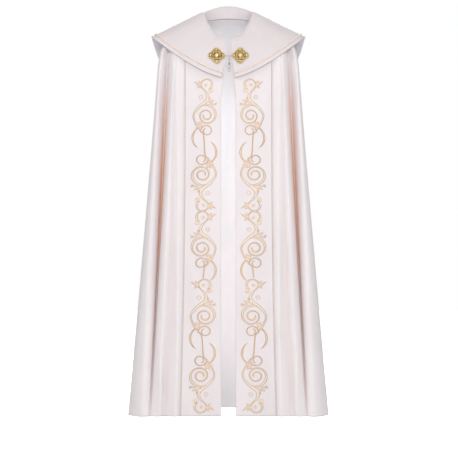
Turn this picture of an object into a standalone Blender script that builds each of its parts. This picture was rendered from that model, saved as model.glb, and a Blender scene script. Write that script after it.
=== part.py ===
"""A cope: a long church mantle of blush satin, closed at the chest by a clasp.

It keeps the hollow form that it has on its wearer. Metres, +Z up, front towards -Y,
so the wearer's right is at -X. The origin is between the wearer's shoulders.
"""

import math
from collections import namedtuple

import bmesh
import bpy
from mathutils import Matrix, Vector
from mathutils.bvhtree import BVHTree

# ------------------------------------------------------------ driving dimensions
CLOTH = 0.0020              # wall of the body: satin with its lining
BAND = 0.0016               # wall of an orphrey
COLLAR = 0.0030             # wall of the stiffened collar
SEAM_GAP = 0.0003           # space between pieces that touch

HEM_DROP = 1.4235           # from the shoulders down to the hem
CHEST_HALF = 0.266          # half of the width at the chest
KNEE_HALF = 0.3185          # half of the width half way down
HEM_HALF = 0.370            # half of the width at the hem
OPENING_HALF = 0.0264       # half of the gap between the two fronts
COLLAR_HALF = 0.2885        # half of the collar's width, from corner to corner

PIPING = 0.0026             # thickness of the gold piping along the orphreys
COLLAR_PIPING = 0.0040      # and of the one on the collar
COLLAR_PIPING_INSET = 0.018  # from the collar's edge up to its piping
PIPING_ASIDE = 1.25         # how far the orphrey's piping lies beside its seam, and how far in
PIPING_PROUD = 2.00         # front of it, in its own half thicknesses

PLATE_HALF = 0.032          # from the middle of a clasp plate to its points
PLATE_OUT = 0.0435          # from the garment's middle line to the middle of a plate
PLATE_HEIGHT = -0.0985      # of the middle of the plates
WIRE = 0.0014               # thickness of the clasp's and the chain's wire
PLATE_TIP = (0.1246, -0.0978)     # how far forward, and how high, a plate's inner point is
CLASP_RING = Vector((0.0033, -0.1255, -0.1005))  # middle of the ring that joins the plates
CLASP_RING_RADIUS = 0.0045  # to the middle of its wire
HOOK_RADIUS = 0.0023        # of the hook's and the eye's bend round the ring's wire
BEAD_RADIUS = 0.0024        # of the dark bead on the chain
BEAD_LOOP = 0.0020          # radius of the bead's two loops

RINGS_BELOW_CHEST = 10      # rings of points between the chest and the hem
ORPHREY_COLUMNS = 4         # strips of faces across an orphrey
ORPHREY_TOP = 1             # number of the body section at which an orphrey starts
COLLAR_FRONT_STEPS = 13     # strips of faces round half of the collar, before the side
COLLAR_BACK_STEPS = 11      # and behind it

# ------------------------------------------------------------------- form tables
# One row for each level section. z_* are heights at the front, side and back, half is
# half of the width, front and back are how far it reaches, seam is how far out the
# orphrey reaches, opening is half of the front gap, square is 2 for an ellipse and more
# for a boxier plan, curve_* bend the height from front or back towards the side, and
# folded is 0 where the cloth is smooth and 1 where it hangs in full folds.
Section = namedtuple(
    "Section",
    "name z_front z_side z_back half front back seam opening square curve_front curve_back folded")
SHOULDER_SECTIONS = (
    Section("neckline", -0.0304, 0.0428, 0.0548, 0.0835, 0.0838, 0.0650, 0.052, 0.0130, 2.0, 3.0, 2.0, 0.00),
    Section("neck base", -0.0660, 0.026, 0.034, 0.1150, 0.1035, 0.0900, 0.080, 0.0135, 2.1, 2.4, 2.0, 0.00),
    Section("yoke", -0.1000, 0.008, 0.004, 0.1650, 0.1150, 0.1080, 0.122, 0.0140, 2.2, 1.9, 2.4, 0.08),
    Section("shoulder", -0.1320, -0.020, -0.042, 0.2130, 0.1240, 0.1240, 0.148, 0.0150, 2.4, 1.6, 3.0, 0.30),
    Section("arm top", -0.1640, -0.052, -0.094, 0.2460, 0.1320, 0.1380, 0.158, 0.0165, 2.5, 1.5, 3.4, 0.60),
    Section("upper arm", -0.2080, -0.112, -0.160, 0.2590, 0.1395, 0.1500, 0.1595, 0.0210, 2.6, 1.5, 3.4, 0.95),
)
HANGING_SECTIONS = (
    Section("chest", -0.270, -0.200, -0.240, CHEST_HALF, 0.1460, 0.160, 0.1595, OPENING_HALF, 2.6, 1.5, 3.0, 1.0),
    Section("knee",  -0.842, -0.845, -0.850, KNEE_HALF, 0.176, 0.205, 0.1625, OPENING_HALF, 2.6, 2.0, 3.0, 1.0),
    Section("hem",   0.006 - HEM_DROP, -HEM_DROP, -HEM_DROP - 0.004,
            HEM_HALF, 0.205, 0.245, 0.1751, OPENING_HALF, 2.6, 2.0, 3.0, 1.0),
)
COLLAR_SECTIONS = (
    Section("neck seam",   -0.0270, 0.044, 0.056, 0.0805, 0.0850, 0.0620, 0, 0.0112, 2.0, 3.0, 2.0, 0),
    Section("stand",       -0.0290, 0.064, 0.095, 0.0848, 0.0885, 0.0660, 0, 0.0112, 2.0, 3.0, 2.0, 0),
    Section("roll",        -0.0360, 0.075, 0.106, 0.0944, 0.0950, 0.0780, 0, 0.0112, 2.0, 2.6, 2.0, 0),
    Section("fall", -0.0520, 0.069, 0.097, 0.1112, 0.1055, 0.0960, 0, 0.0112, 2.0, 2.2, 2.1, 0),
    Section("upper cape", -0.0850, 0.046, 0.057, 0.1566, 0.1185, 0.1240, 0, 0.0112, 2.25, 1.9, 2.4, 0),
    Section("middle cape", -0.1220, 0.017, -0.020, 0.2150, 0.1300, 0.1480, 0, 0.0118, 2.4, 1.65, 3.4, 0),
    Section("lower cape", -0.1540, -0.004, -0.112, 0.2564, 0.1395, 0.1640, 0, 0.0165, 2.5, 1.58, 4.8, 0),
    Section("edge", -0.1840, -0.018, -0.200, COLLAR_HALF, 0.1485, 0.1740, 0, 0.0226, 2.5, 1.53, 6.0, 0),
)

# One row for each ridge and valley between the orphrey's seam and the side. reach_* run
# from 0 at the seam to 1 at the side, and back_* are how far behind the front plane the
# line lies, each at the chest, half way down and at the hem.
Line = namedtuple("Line", "name reach_chest reach_knee reach_hem back_chest back_knee back_hem")
FOLD_LINES = (
    Line("seam",              0.000, 0.000, 0.000, 0.011, 0.013, 0.013),
    Line("ridge at the seam", 0.268, 0.150, 0.098, 0.004, 0.004, 0.006),
    Line("soft trough",       0.389, 0.300, 0.303, 0.011, 0.023, 0.026),
    Line("second ridge",      0.441, 0.438, 0.402, 0.011, 0.012, 0.016),
    Line("valley inner wall", 0.548, 0.562, 0.530, 0.030, 0.040, 0.028),
    Line("deep valley",       0.642, 0.608, 0.576, 0.060, 0.077, 0.037),
    Line("valley outer wall", 0.762, 0.668, 0.609, 0.045, 0.047, 0.032),
    Line("outer ridge",       0.905, 0.824, 0.735, 0.034, 0.034, 0.030),
    Line("ridge shoulder",    0.970, 0.948, 0.884, 0.046, 0.060, 0.062),
    Line("side",              1.000, 1.000, 1.000, 0.064, 0.098, 0.118),
    Line("behind the side",   0.965, 0.960, 0.945, 0.092, 0.122, 0.152),
)

# One row for each fold from the side to the middle of the back: the angles of its valley
# and of the ridge behind it, in degrees round from the front, and the valley's depth as a
# share of the reach.
Fold = namedtuple("Fold", "name valley ridge depth_chest depth_knee depth_hem")
BACK_FOLDS = (
    Fold("side",           79, 90, 0.12, 0.22, 0.26),
    Fold("behind the arm", 102, 113, 0.07, 0.24, 0.31),
    Fold("shoulder blade", 123, 136, 0.10, 0.20, 0.25),
    Fold("outer back",     148, 158, 0.06, 0.25, 0.32),
    Fold("inner back",     168, 180, 0.09, 0.18, 0.24),
)
LAST_LINE_ANGLE = 74        # where the last of the fold lines meets the smooth outline
RIDGE_EDGE = 0.45           # where a ridge's round top ends, from its valley to its middle
RIDGE_DROP = 0.15           # share of the valley's depth lost there


def blend(a, b, t):
    return a + (b - a) * t


def through_three(values, t):
    """The smooth curve through three values, at t = 0, 1/2 and 1."""
    first, middle, last = values
    return first * (1 - t) * (1 - 2 * t) + middle * 4 * t * (1 - t) + last * t * (2 * t - 1)


def body_sections():
    """Each section of the body, with its share of the way from the chest to the hem."""
    sections = [(section, 0.0) for section in SHOULDER_SECTIONS]
    for ring in range(RINGS_BELOW_CHEST + 1):
        share = ring / RINGS_BELOW_CHEST
        numbers = [through_three(values, share) for values in zip(*(row[1:] for row in HANGING_SECTIONS))]
        sections.append((Section(f"hanging {ring}", *numbers), share))
    return sections


def on_section(section, across, along):
    """The point of a section's smooth outline in a direction.

    across and along are shares of the reach: along is -1 at the front and 1 at the back.
    """
    power = section.square
    size = (abs(across) ** power + abs(along) ** power) ** (1 / power)
    return across / size, along / size


def front_of(section, x):
    """The place of the smooth outline's front that lies x from the middle."""
    across = x / section.half
    return across, -(1 - across ** section.square) ** (1 / section.square)


def place(section, across, along, smooth):
    """The world point at a place of a section's plan, as high as the smooth outline there."""
    side, forward = smooth
    end, curve = ((section.z_front, section.curve_front) if forward < 0
                  else (section.z_back, section.curve_back))
    reach = section.front if along < 0 else section.back
    return Vector((across * section.half, along * reach, blend(end, section.z_side, abs(side) ** curve)))


def front_stations(section, share):
    """Places in plan from the front edge to just behind the side.

    Each is how far out and how far forward it lies in full folds, and its place on the
    smooth outline.
    """
    seam_back = through_three(FOLD_LINES[0][4:7], share)
    for column in range(ORPHREY_COLUMNS):
        part = column / ORPHREY_COLUMNS
        x = blend(section.opening, section.seam, part)
        yield x, section.front - seam_back * part ** 2, front_of(section, x)
    across, along = front_of(section, section.seam)
    seam_angle = math.atan2(across, -along)
    for i, line in enumerate(FOLD_LINES):
        angle = blend(seam_angle, math.radians(LAST_LINE_ANGLE), i / (len(FOLD_LINES) - 1))
        x = blend(section.seam, section.half, through_three(line[1:4], share))
        forward = section.front - through_three(line[4:7], share)
        yield x, forward, on_section(section, math.sin(angle), -math.cos(angle))


def back_stations(section, share):
    """Angles and depths of the folds from the side round to the middle of the back."""
    depths = [through_three(fold[3:6], share) * section.folded for fold in BACK_FOLDS]
    for i, fold in enumerate(BACK_FOLDS):
        yield fold.valley, depths[i]
        yield blend(fold.valley, fold.ridge, RIDGE_EDGE), depths[i] * RIDGE_DROP
        yield fold.ridge, 0.0
        if i + 1 < len(BACK_FOLDS):
            yield blend(BACK_FOLDS[i + 1].valley, fold.ridge, RIDGE_EDGE), depths[i + 1] * RIDGE_DROP


def half_outline(section, share):
    """Points of the wearer's left half, from the front edge to the middle of the back."""
    points = []
    for x, forward, smooth in front_stations(section, share):
        across = blend(smooth[0], x / section.half, section.folded)
        along = blend(smooth[1], -forward / section.front, section.folded)
        points.append(place(section, across, along, smooth))
    for degrees, depth in back_stations(section, share):
        angle = math.radians(degrees)
        smooth = on_section(section, math.sin(angle), -math.cos(angle))
        points.append(place(section, smooth[0] * (1 - depth), smooth[1] * (1 - depth), smooth))
    points[-1].x = 0
    return points


def smooth_line(points, first, steps):
    """A Catmull-Rom curve through points, with steps stretches after the one numbered first."""
    line = []
    for i in range(len(points) - 1):
        a, b = points[max(i - 1, 0)], points[i]
        c, d = points[i + 1], points[min(i + 2, len(points) - 1)]
        count = steps if i >= first else 1
        for k in range(count):
            t = k / count
            line.append(0.5 * (2 * b + (c - a) * t + (2 * a - 5 * b + 4 * c - d) * t ** 2
                               + (3 * b - a - 3 * c + d) * t ** 3))
    line.append(points[-1])
    return line


def whole_outline(half):
    """Both halves of an outline, from the right front edge round the back to the left."""
    mirrored = [Vector((-p.x, p.y, p.z)) for p in half]
    return mirrored + half[-2::-1]


def body_rings():
    return [whole_outline(smooth_line(half_outline(section, share), ORPHREY_COLUMNS, 2))
            for section, share in body_sections()]


def piping_ring(inner, edge):
    """The ring of points that lies the piping's inset away from the collar's edge."""
    return [point.lerp(far, COLLAR_PIPING_INSET / (far - point).length) for point, far in zip(edge, inner)]


def collar_rings():
    rings = []
    for section in COLLAR_SECTIONS:
        power = 2 / section.square
        start = math.asin((section.opening / section.half) ** (1 / power))
        angles = [blend(start, math.pi / 2, i / COLLAR_FRONT_STEPS) for i in range(COLLAR_FRONT_STEPS)]
        angles += [math.pi / 2 * (1 + i / COLLAR_BACK_STEPS) for i in range(COLLAR_BACK_STEPS)]
        plan = [(math.sin(a) ** power, math.copysign(abs(math.cos(a)) ** power, -math.cos(a))) for a in angles]
        plan.append((0.0, 1.0))
        rings.append(whole_outline([place(section, *point, point) for point in plan]))
    rings.insert(-1, piping_ring(rings[-2], rings[-1]))
    return rings


def outward(rings):
    """The direction out of the sheet at each of its points."""
    normals = []
    for r, ring in enumerate(rings):
        above, below = rings[max(r - 1, 0)], rings[min(r + 1, len(rings) - 1)]
        row = []
        for i in range(len(ring)):
            along = ring[min(i + 1, len(ring) - 1)] - ring[max(i - 1, 0)]
            row.append(along.cross(below[i] - above[i]).normalized())
        normals.append(row)
    return normals


# ------------------------------------------------------------------ making objects
def material(name, colour, roughness, metallic=0.0):
    made = bpy.data.materials.new(name)
    made.use_nodes = True
    shader = made.node_tree.nodes["Principled BSDF"]
    shader.inputs["Base Color"].default_value = (*colour, 1.0)
    shader.inputs["Roughness"].default_value = roughness
    shader.inputs["Metallic"].default_value = metallic
    return made


def add_object(name, data, finish):
    made = bpy.data.objects.new(name, data)
    data.materials.append(finish)
    bpy.data.collections["cope vestment"].objects.link(made)
    return made


def faces_between(mesh, rows, closed=False):
    for upper, lower in zip(rows, rows[1:]):
        for i in range(len(upper) - (0 if closed else 1)):
            j = (i + 1) % len(upper)
            mesh.faces.new((upper[i], upper[j], lower[j]))
            mesh.faces.new((upper[i], lower[j], lower[i]))


def finish_mesh(name, building):
    mesh = bpy.data.meshes.new(name)
    building.to_mesh(mesh)
    building.free()
    mesh.shade_smooth()
    mesh.set_sharp_from_angle(angle=math.radians(50))
    return mesh


def add_sheet(name, rings, wall, side, finish):
    """A lofted sheet with a wall: side -1 puts the wall behind the points, 1 in front."""
    building = bmesh.new()
    faces_between(building, [[building.verts.new(point) for point in ring] for ring in rings])
    made = add_object(name, finish_mesh(name, building), finish)
    solid = made.modifiers.new("wall", "SOLIDIFY")
    solid.thickness = wall
    solid.offset = side
    return made


def add_cord(name, points, thickness, finish):
    curve = bpy.data.curves.new(name, "CURVE")
    curve.dimensions = "3D"
    curve.bevel_depth = thickness / 2
    curve.bevel_resolution = 1
    curve.use_fill_caps = True
    spline = curve.splines.new("POLY")
    spline.points.add(len(points) - 1)
    for control, point in zip(spline.points, points):
        control.co = (*point, 1.0)
    return add_object(name, curve, finish)


def add_orphrey(side_name, rings, normals, columns, satin, gold):
    """The band on one front, and the piping along its outer seam."""
    rows = range(ORPHREY_TOP, len(rings))
    add_sheet(f"orphrey_{side_name}",
              [[rings[r][c] + normals[r][c] * SEAM_GAP for c in columns] for r in rows], BAND, 1, satin)
    seam, beside = (columns[0], columns[1]) if side_name == "left" else (columns[-1], columns[-2])
    lift = PIPING / 2 + SEAM_GAP
    route = []
    for r in rows:
        away = (rings[r][seam] - rings[r][beside]).normalized()
        route.append(rings[r][seam] + (away * PIPING_ASIDE + normals[r][seam] * PIPING_PROUD) * lift)
    add_cord(f"orphrey_piping_{side_name}", route, PIPING, gold)


# ------------------------------------------------------------------------ the clasp
# One row for each ring of points on a plate, from its flat back inwards over its front:
# the share of the plate's radius, the height over the back, and how much higher still it
# stands on the four lobes.
PlateRing = namedtuple("PlateRing", "name share height bead")
PLATE_RINGS = (
    PlateRing("back edge",   1.00, 0.0000, 0.0000),
    PlateRing("rim",         1.00, 0.0020, 0.0000),
    PlateRing("rim top",     0.90, 0.0032, 0.0000),
    PlateRing("lobe beads",  0.74, 0.0022, 0.0024),
    PlateRing("web",         0.58, 0.0026, 0.0000),
    PlateRing("ring",        0.50, 0.0040, 0.0000),
    PlateRing("groove",      0.41, 0.0014, 0.0000),
    PlateRing("boss foot",   0.30, 0.0030, 0.0000),
    PlateRing("boss",        0.17, 0.0050, 0.0000),
)
BOSS_HEIGHT = 0.0056
PLATE_POINTS = 32           # corners round a plate
LOBE_DEPTH = 0.11           # share of the radius by which the lobes stand out

# One row for each piece of the chain below the clasp's ring: across is "front" where it
# faces the front and "side" where it stands edge-on, and down is half of its height
# between the middles of its wire. The bead hangs in the row named so.
ChainPiece = namedtuple("ChainPiece", "name across width down")
CHAIN = (
    ChainPiece("chain_link_upper",  "side",  0.0026, 0.0031),
    ChainPiece("chain_ring_upper",  "front", 0.0037, 0.0037),
    ChainPiece("chain_link_middle", "side",  0.0026, 0.0060),
    ChainPiece("chain_bead",        "bead",  BEAD_LOOP, BEAD_LOOP + BEAD_RADIUS),
    ChainPiece("chain_ring_middle", "front", 0.0056, 0.0056),
    ChainPiece("chain_link_lower",  "side",  0.0026, 0.0026),
    ChainPiece("chain_ring_end",    "front", 0.0056, 0.0056),
)
FACING = {"front": (math.radians(90), 0, 0), "side": (0, math.radians(90), 0)}


def plate_mesh():
    """A four-lobed plate, flat behind and raised in front, its front towards -Y."""
    building = bmesh.new()
    rows = []
    for ring in PLATE_RINGS:
        row = []
        for i in range(PLATE_POINTS):
            angle = 2 * math.pi * i / PLATE_POINTS
            lobe = math.cos(4 * angle)
            radius = PLATE_HALF * (1 - LOBE_DEPTH + LOBE_DEPTH * lobe) * ring.share
            rise = ring.height + ring.bead * max(0.0, lobe)
            row.append(building.verts.new((radius * math.cos(angle), -rise, radius * math.sin(angle))))
        rows.append(row)
    faces_between(building, rows, closed=True)
    top = building.verts.new((0, -BOSS_HEIGHT, 0))
    for i in range(PLATE_POINTS):
        building.faces.new((top, rows[-1][i], rows[-1][(i + 1) % PLATE_POINTS]))
    building.faces.new(rows[0])
    bmesh.ops.recalc_face_normals(building, faces=building.faces)
    return finish_mesh("clasp plate", building)


def collar_face(tree, x, z):
    """The point of the collar's outer face straight behind a place in the front view."""
    return tree.ray_cast(Vector((x, -1.0, z)), Vector((0, 1, 0)))[0]


def add_plate(name, side, tree, finish):
    """A clasp plate turned to lie along the collar, just clear of it everywhere."""
    x = side * PLATE_OUT
    reach = 0.85 * PLATE_HALF
    up = collar_face(tree, x, PLATE_HEIGHT + reach) - collar_face(tree, x, PLATE_HEIGHT - reach)
    right = collar_face(tree, x + reach, PLATE_HEIGHT) - collar_face(tree, x - reach, PLATE_HEIGHT)
    right.normalize()
    forward = right.cross(up).normalized()
    up = forward.cross(right)
    middle = collar_face(tree, x, PLATE_HEIGHT)
    sunk = 0.0
    for turn in range(PLATE_POINTS):
        angle = 2 * math.pi * turn / PLATE_POINTS
        rim = middle + (right * math.cos(angle) + up * math.sin(angle)) * reach
        sunk = max(sunk, (collar_face(tree, rim.x, rim.z) - rim).dot(forward))
    made = add_object(name, plate_mesh(), finish)
    made.matrix_world = (Matrix.Translation(middle + forward * (sunk + 2 * SEAM_GAP))
                         @ Matrix((right, -forward, up)).transposed().to_4x4())
    return made


def add_grip(name, side, finish):
    """The bent wire by which a plate holds the ring: side -1 is the hook, 1 the eye."""
    wire_x = CLASP_RING.x + side * CLASP_RING_RADIUS
    forward, high = PLATE_TIP
    points = [Vector((side * (PLATE_OUT - PLATE_HALF - WIRE / 2 - SEAM_GAP), -forward, high))]
    for degrees in range(0, 241, 30):
        angle = math.radians(degrees)
        points.append(Vector((wire_x - side * HOOK_RADIUS * math.sin(angle),
                              CLASP_RING.y - HOOK_RADIUS * math.cos(angle), CLASP_RING.z)))
    return add_cord(name, points, WIRE, finish)


def add_ring(name, middle, across, width, down, finish):
    """A ring or link of wire; width and down are its half sizes to the wire's middle."""
    bpy.ops.mesh.primitive_torus_add(
        major_segments=16, minor_segments=6, major_radius=width, minor_radius=WIRE / 2,
        location=(0, 0, 0), rotation=FACING[across])
    made = bpy.context.object
    bpy.ops.object.transform_apply(location=False, rotation=True, scale=False)
    for vertex in made.data.vertices:
        vertex.co.z += math.copysign(down - width, vertex.co.z)
    made.name = made.data.name = name
    made.location = middle
    made.data.materials.append(finish)
    made.data.shade_smooth()
    return made


def add_bead(name, top_loop, finish):
    """A round bead with a loop above, facing the front, and a loop below, edge-on."""
    loops = bpy.data.collections["bead loops"]
    step = BEAD_LOOP + BEAD_RADIUS - WIRE / 2
    bpy.ops.mesh.primitive_uv_sphere_add(segments=12, ring_count=8, radius=BEAD_RADIUS,
                                         location=top_loop - Vector((0, 0, step)))
    made = bpy.context.object
    made.name = made.data.name = name
    made.data.materials.append(finish)
    made.data.shade_smooth()
    for across, drop in (("front", 0.0), ("side", 2 * step)):
        loop = add_ring(f"{name} {across} loop", top_loop - Vector((0, 0, drop)), across,
                        BEAD_LOOP, BEAD_LOOP, finish)
        loop.display_type = "WIRE"
        loop.hide_render = True
        loops.objects.link(loop)
        bpy.data.collections["cope vestment"].objects.unlink(loop)
        join = made.modifiers.new(across, "BOOLEAN")
        join.operation = "UNION"
        join.object = loop
    return made, 2 * step


def hang_chain(steel, dark):
    """The chain below the clasp's ring, all on one empty at the ring's lowest wire."""
    bottom = CLASP_RING.z - CLASP_RING_RADIUS
    pivot = bpy.data.objects.new("chain pivot", None)
    pivot.location = (CLASP_RING.x, CLASP_RING.y, bottom)
    bpy.data.collections["cope vestment"].objects.link(pivot)
    bpy.context.view_layer.update()
    pieces = []
    for piece in CHAIN:
        top_wire = bottom + WIRE + SEAM_GAP
        middle = Vector((CLASP_RING.x, CLASP_RING.y, top_wire - piece.down))
        if piece.across == "bead":
            middle.z = top_wire - BEAD_LOOP
            made, drop = add_bead(piece.name, middle, dark)
            bottom = middle.z - drop - BEAD_LOOP
        else:
            made = add_ring(piece.name, middle, piece.across, piece.width, piece.down, steel)
            bottom = middle.z - piece.down
        pieces.append(made)
    for made in pieces:
        made.parent = pivot
        made.matrix_parent_inverse = pivot.matrix_world.inverted()


def main():
    for old in list(bpy.data.objects):
        bpy.data.objects.remove(old, do_unlink=True)
    parts = bpy.data.collections.new("cope vestment")
    bpy.context.scene.collection.children.link(parts)
    bpy.context.scene.collection.children.link(bpy.data.collections.new("bead loops"))
    bpy.context.view_layer.active_layer_collection = (
        bpy.context.view_layer.layer_collection.children[parts.name])
    satin = material("blush satin", (0.83, 0.75, 0.75), 0.45)
    gold_thread = material("gold piping", (0.80, 0.60, 0.38), 0.5)
    gold = material("old gold", (0.60, 0.42, 0.16), 0.3, 1.0)
    steel = material("nickel", (0.55, 0.54, 0.50), 0.3, 1.0)
    dark = material("dark nickel", (0.10, 0.09, 0.08), 0.3, 1.0)

    rings = body_rings()
    normals = outward(rings)
    add_sheet("body", rings, CLOTH, -1, satin)
    last = len(rings[0]) - 1
    add_orphrey("right", rings, normals, range(ORPHREY_COLUMNS + 1), satin, gold_thread)
    add_orphrey("left", rings, normals, range(last - ORPHREY_COLUMNS, last + 1), satin, gold_thread)

    collar = collar_rings()
    collar_object = add_sheet("collar", collar, COLLAR, -1, satin)
    lift = COLLAR_PIPING / 2 + 2 * SEAM_GAP
    route = [point + out * lift for point, out in zip(collar[-2], outward(collar)[-2])]
    add_cord("collar_piping", route, COLLAR_PIPING, gold_thread)

    tree = BVHTree.FromPolygons([vertex.co for vertex in collar_object.data.vertices],
                                [face.vertices for face in collar_object.data.polygons])
    add_plate("clasp_plate_right", -1, tree, gold)
    add_plate("clasp_plate_left", 1, tree, gold)
    add_grip("clasp_hook", -1, steel)
    add_grip("clasp_eye", 1, gold)
    add_ring("clasp_ring", CLASP_RING, "front", CLASP_RING_RADIUS, CLASP_RING_RADIUS, steel)
    hang_chain(steel, dark)


main()
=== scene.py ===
"""Dresses the cope: satin, embroidery, piping, clasp and chain, on a pale floor in soft light."""

import math
from collections import namedtuple

import bmesh
import bpy
from bpy.props import FloatProperty, FloatVectorProperty, PointerProperty
from mathutils import Matrix, Vector
from mathutils.bvhtree import BVHTree
from mathutils.geometry import convex_hull_2d


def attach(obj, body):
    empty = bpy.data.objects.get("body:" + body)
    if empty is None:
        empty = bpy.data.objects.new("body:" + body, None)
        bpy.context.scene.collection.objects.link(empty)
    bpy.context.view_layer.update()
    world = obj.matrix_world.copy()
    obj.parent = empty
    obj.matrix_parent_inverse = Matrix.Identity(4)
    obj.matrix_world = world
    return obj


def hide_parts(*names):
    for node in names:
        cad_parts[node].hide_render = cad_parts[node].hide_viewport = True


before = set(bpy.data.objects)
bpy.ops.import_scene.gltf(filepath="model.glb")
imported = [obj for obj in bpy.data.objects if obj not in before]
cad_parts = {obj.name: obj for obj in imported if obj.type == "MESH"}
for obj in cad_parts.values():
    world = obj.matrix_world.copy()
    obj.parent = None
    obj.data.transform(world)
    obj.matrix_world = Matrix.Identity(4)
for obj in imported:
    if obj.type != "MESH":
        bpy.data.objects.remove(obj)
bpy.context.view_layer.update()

bl_info = {
    "name": "Cope Dresser",
    "version": (1, 0, 0),
    "blender": (4, 5, 0),
    "location": "View3D > Sidebar > Cope",
    "description": "Makes the cloth, embroidery and clasp of a cope over its solid frame",
    "category": "Object",
}


def rows_of(kind, rows):
    """A table whose rows are all of one kind."""
    return tuple(kind(*row) for row in rows)


# ------------------------------------------------------------------ form of the cloth
# Heights are in metres from between the wearer's shoulders. z_* are heights at the front,
# side and back, half is half of the width, front and back are how far it reaches, seam is
# how far out the orphrey reaches, opening is half of the front gap, square is 2 for an
# ellipse and more for a boxier plan, curve_* bend the height towards the side, and folded
# is 0 where the cloth is smooth and 1 where it hangs in full folds.
Section = namedtuple("Section", "name z_front z_side z_back half front back seam opening square "
                                "curve_front curve_back folded")
SHOULDER_SECTIONS = rows_of(Section, (
    ("neckline", -0.0304, 0.0428, 0.0548, 0.0835, 0.0838, 0.0650, 0.052, 0.0130, 2.0, 3.0, 2.0, 0.00),
    ("neck base", -0.0660, 0.026, 0.034, 0.1150, 0.1035, 0.0900, 0.080, 0.0135, 2.1, 2.4, 2.0, 0.00),
    ("yoke", -0.1000, 0.008, 0.004, 0.1650, 0.1150, 0.1080, 0.122, 0.0140, 2.2, 1.9, 2.4, 0.08),
    ("shoulder", -0.1320, -0.020, -0.042, 0.2130, 0.1240, 0.1240, 0.148, 0.0150, 2.4, 1.6, 3.0, 0.30),
    ("arm top", -0.1640, -0.052, -0.094, 0.2460, 0.1320, 0.1380, 0.158, 0.0165, 2.5, 1.5, 3.4, 0.60),
    ("upper arm", -0.2080, -0.112, -0.160, 0.2590, 0.1395, 0.1500, 0.1595, 0.0210, 2.6, 1.5, 3.4, 0.95),
))
HANGING_SECTIONS = rows_of(Section, (
    ("chest", -0.270, -0.200, -0.240, 0.2660, 0.1460, 0.160, 0.1595, 0.0264, 2.6, 1.5, 3.0, 1.0),
    ("knee", -0.842, -0.845, -0.850, 0.3185, 0.176, 0.205, 0.1625, 0.0264, 2.6, 2.0, 3.0, 1.0),
    ("hem", -1.4175, -1.4235, -1.4275, 0.3700, 0.205, 0.245, 0.1751, 0.0264, 2.6, 2.0, 3.0, 1.0),
))
COLLAR_SECTIONS = rows_of(Section, (
    ("neck seam", -0.0270, 0.044, 0.056, 0.0805, 0.0850, 0.0620, 0, 0.0112, 2.0, 3.0, 2.0, 0),
    ("stand", -0.0290, 0.064, 0.095, 0.0848, 0.0885, 0.0660, 0, 0.0112, 2.0, 3.0, 2.0, 0),
    ("roll", -0.0360, 0.075, 0.106, 0.0944, 0.0950, 0.0780, 0, 0.0112, 2.0, 2.6, 2.0, 0),
    ("fall", -0.0520, 0.069, 0.097, 0.1112, 0.1055, 0.0960, 0, 0.0112, 2.0, 2.2, 2.1, 0),
    ("upper cape", -0.0850, 0.046, 0.057, 0.1566, 0.1185, 0.1240, 0, 0.0112, 2.25, 1.9, 2.4, 0),
    ("middle cape", -0.1220, 0.017, -0.020, 0.2150, 0.1300, 0.1480, 0, 0.0118, 2.4, 1.65, 3.4, 0),
    ("lower cape", -0.1540, -0.004, -0.112, 0.2564, 0.1395, 0.1640, 0, 0.0165, 2.5, 1.58, 4.8, 0),
    ("edge", -0.1840, -0.018, -0.200, 0.2885, 0.1485, 0.1740, 0, 0.0226, 2.5, 1.53, 6.0, 0),
))

# Ridges and valleys between the orphrey's seam and the side: reach_* run from 0 at the
# seam to 1 at the side, and back_* are how far behind the front plane the line lies, each
# at the chest, half way down and at the hem.
Line = namedtuple("Line", "name reach_chest reach_knee reach_hem back_chest back_knee back_hem")
FOLD_LINES = rows_of(Line, (
    ("seam", 0.000, 0.000, 0.000, 0.011, 0.013, 0.013),
    ("ridge at the seam", 0.268, 0.150, 0.098, 0.004, 0.004, 0.006),
    ("soft trough", 0.389, 0.300, 0.303, 0.011, 0.023, 0.026),
    ("second ridge", 0.441, 0.438, 0.402, 0.011, 0.012, 0.016),
    ("valley inner wall", 0.548, 0.562, 0.530, 0.030, 0.040, 0.028),
    ("deep valley", 0.642, 0.608, 0.576, 0.060, 0.077, 0.037),
    ("valley outer wall", 0.762, 0.668, 0.609, 0.045, 0.047, 0.032),
    ("outer ridge", 0.905, 0.824, 0.735, 0.034, 0.034, 0.030),
    ("ridge shoulder", 0.970, 0.948, 0.884, 0.046, 0.060, 0.062),
    ("side", 1.000, 1.000, 1.000, 0.064, 0.098, 0.118),
    ("behind the side", 0.965, 0.960, 0.945, 0.092, 0.122, 0.152),
))

# Folds from the side to the middle of the back: angles of the valley and of the ridge
# behind it, in degrees round from the front, and the depth as a share of the reach.
Fold = namedtuple("Fold", "name valley ridge depth_chest depth_knee depth_hem")
BACK_FOLDS = rows_of(Fold, (
    ("side", 79, 90, 0.12, 0.22, 0.26),
    ("behind the arm", 102, 113, 0.07, 0.24, 0.31),
    ("shoulder blade", 123, 136, 0.10, 0.20, 0.25),
    ("outer back", 148, 158, 0.06, 0.25, 0.32),
    ("inner back", 168, 180, 0.09, 0.18, 0.24),
))
LAST_LINE_ANGLE = 74        # degrees round from the front at which the fold lines end
RIDGE_EDGE = 0.45           # way from a valley to its ridge where the ridge's edge lies
RIDGE_DROP = 0.15           # depth of that edge, as a share of the valley's
RINGS_BELOW_CHEST = 10
ORPHREY_COLUMNS = 4
ORPHREY_TOP = 1
COLLAR_FRONT_STEPS = 13
COLLAR_BACK_STEPS = 11
COLLAR_PIPING_INSET = 0.018
SEAM_GAP = 0.0003

# How finely the cloth is made between the places that the tables give.
SHOULDER_ROWS = 5
HANGING_ROWS = 9
FRONT_STEPS = 6
BACK_STEPS = 4
COLLAR_ROWS = 7
COLLAR_STEPS = 4
CREASE_REACH = 3            # widths of a crease past which it leaves the cloth alone
LEVEL_LINE = 6              # fold line whose height says how far down a ring of the mantle is

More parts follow.
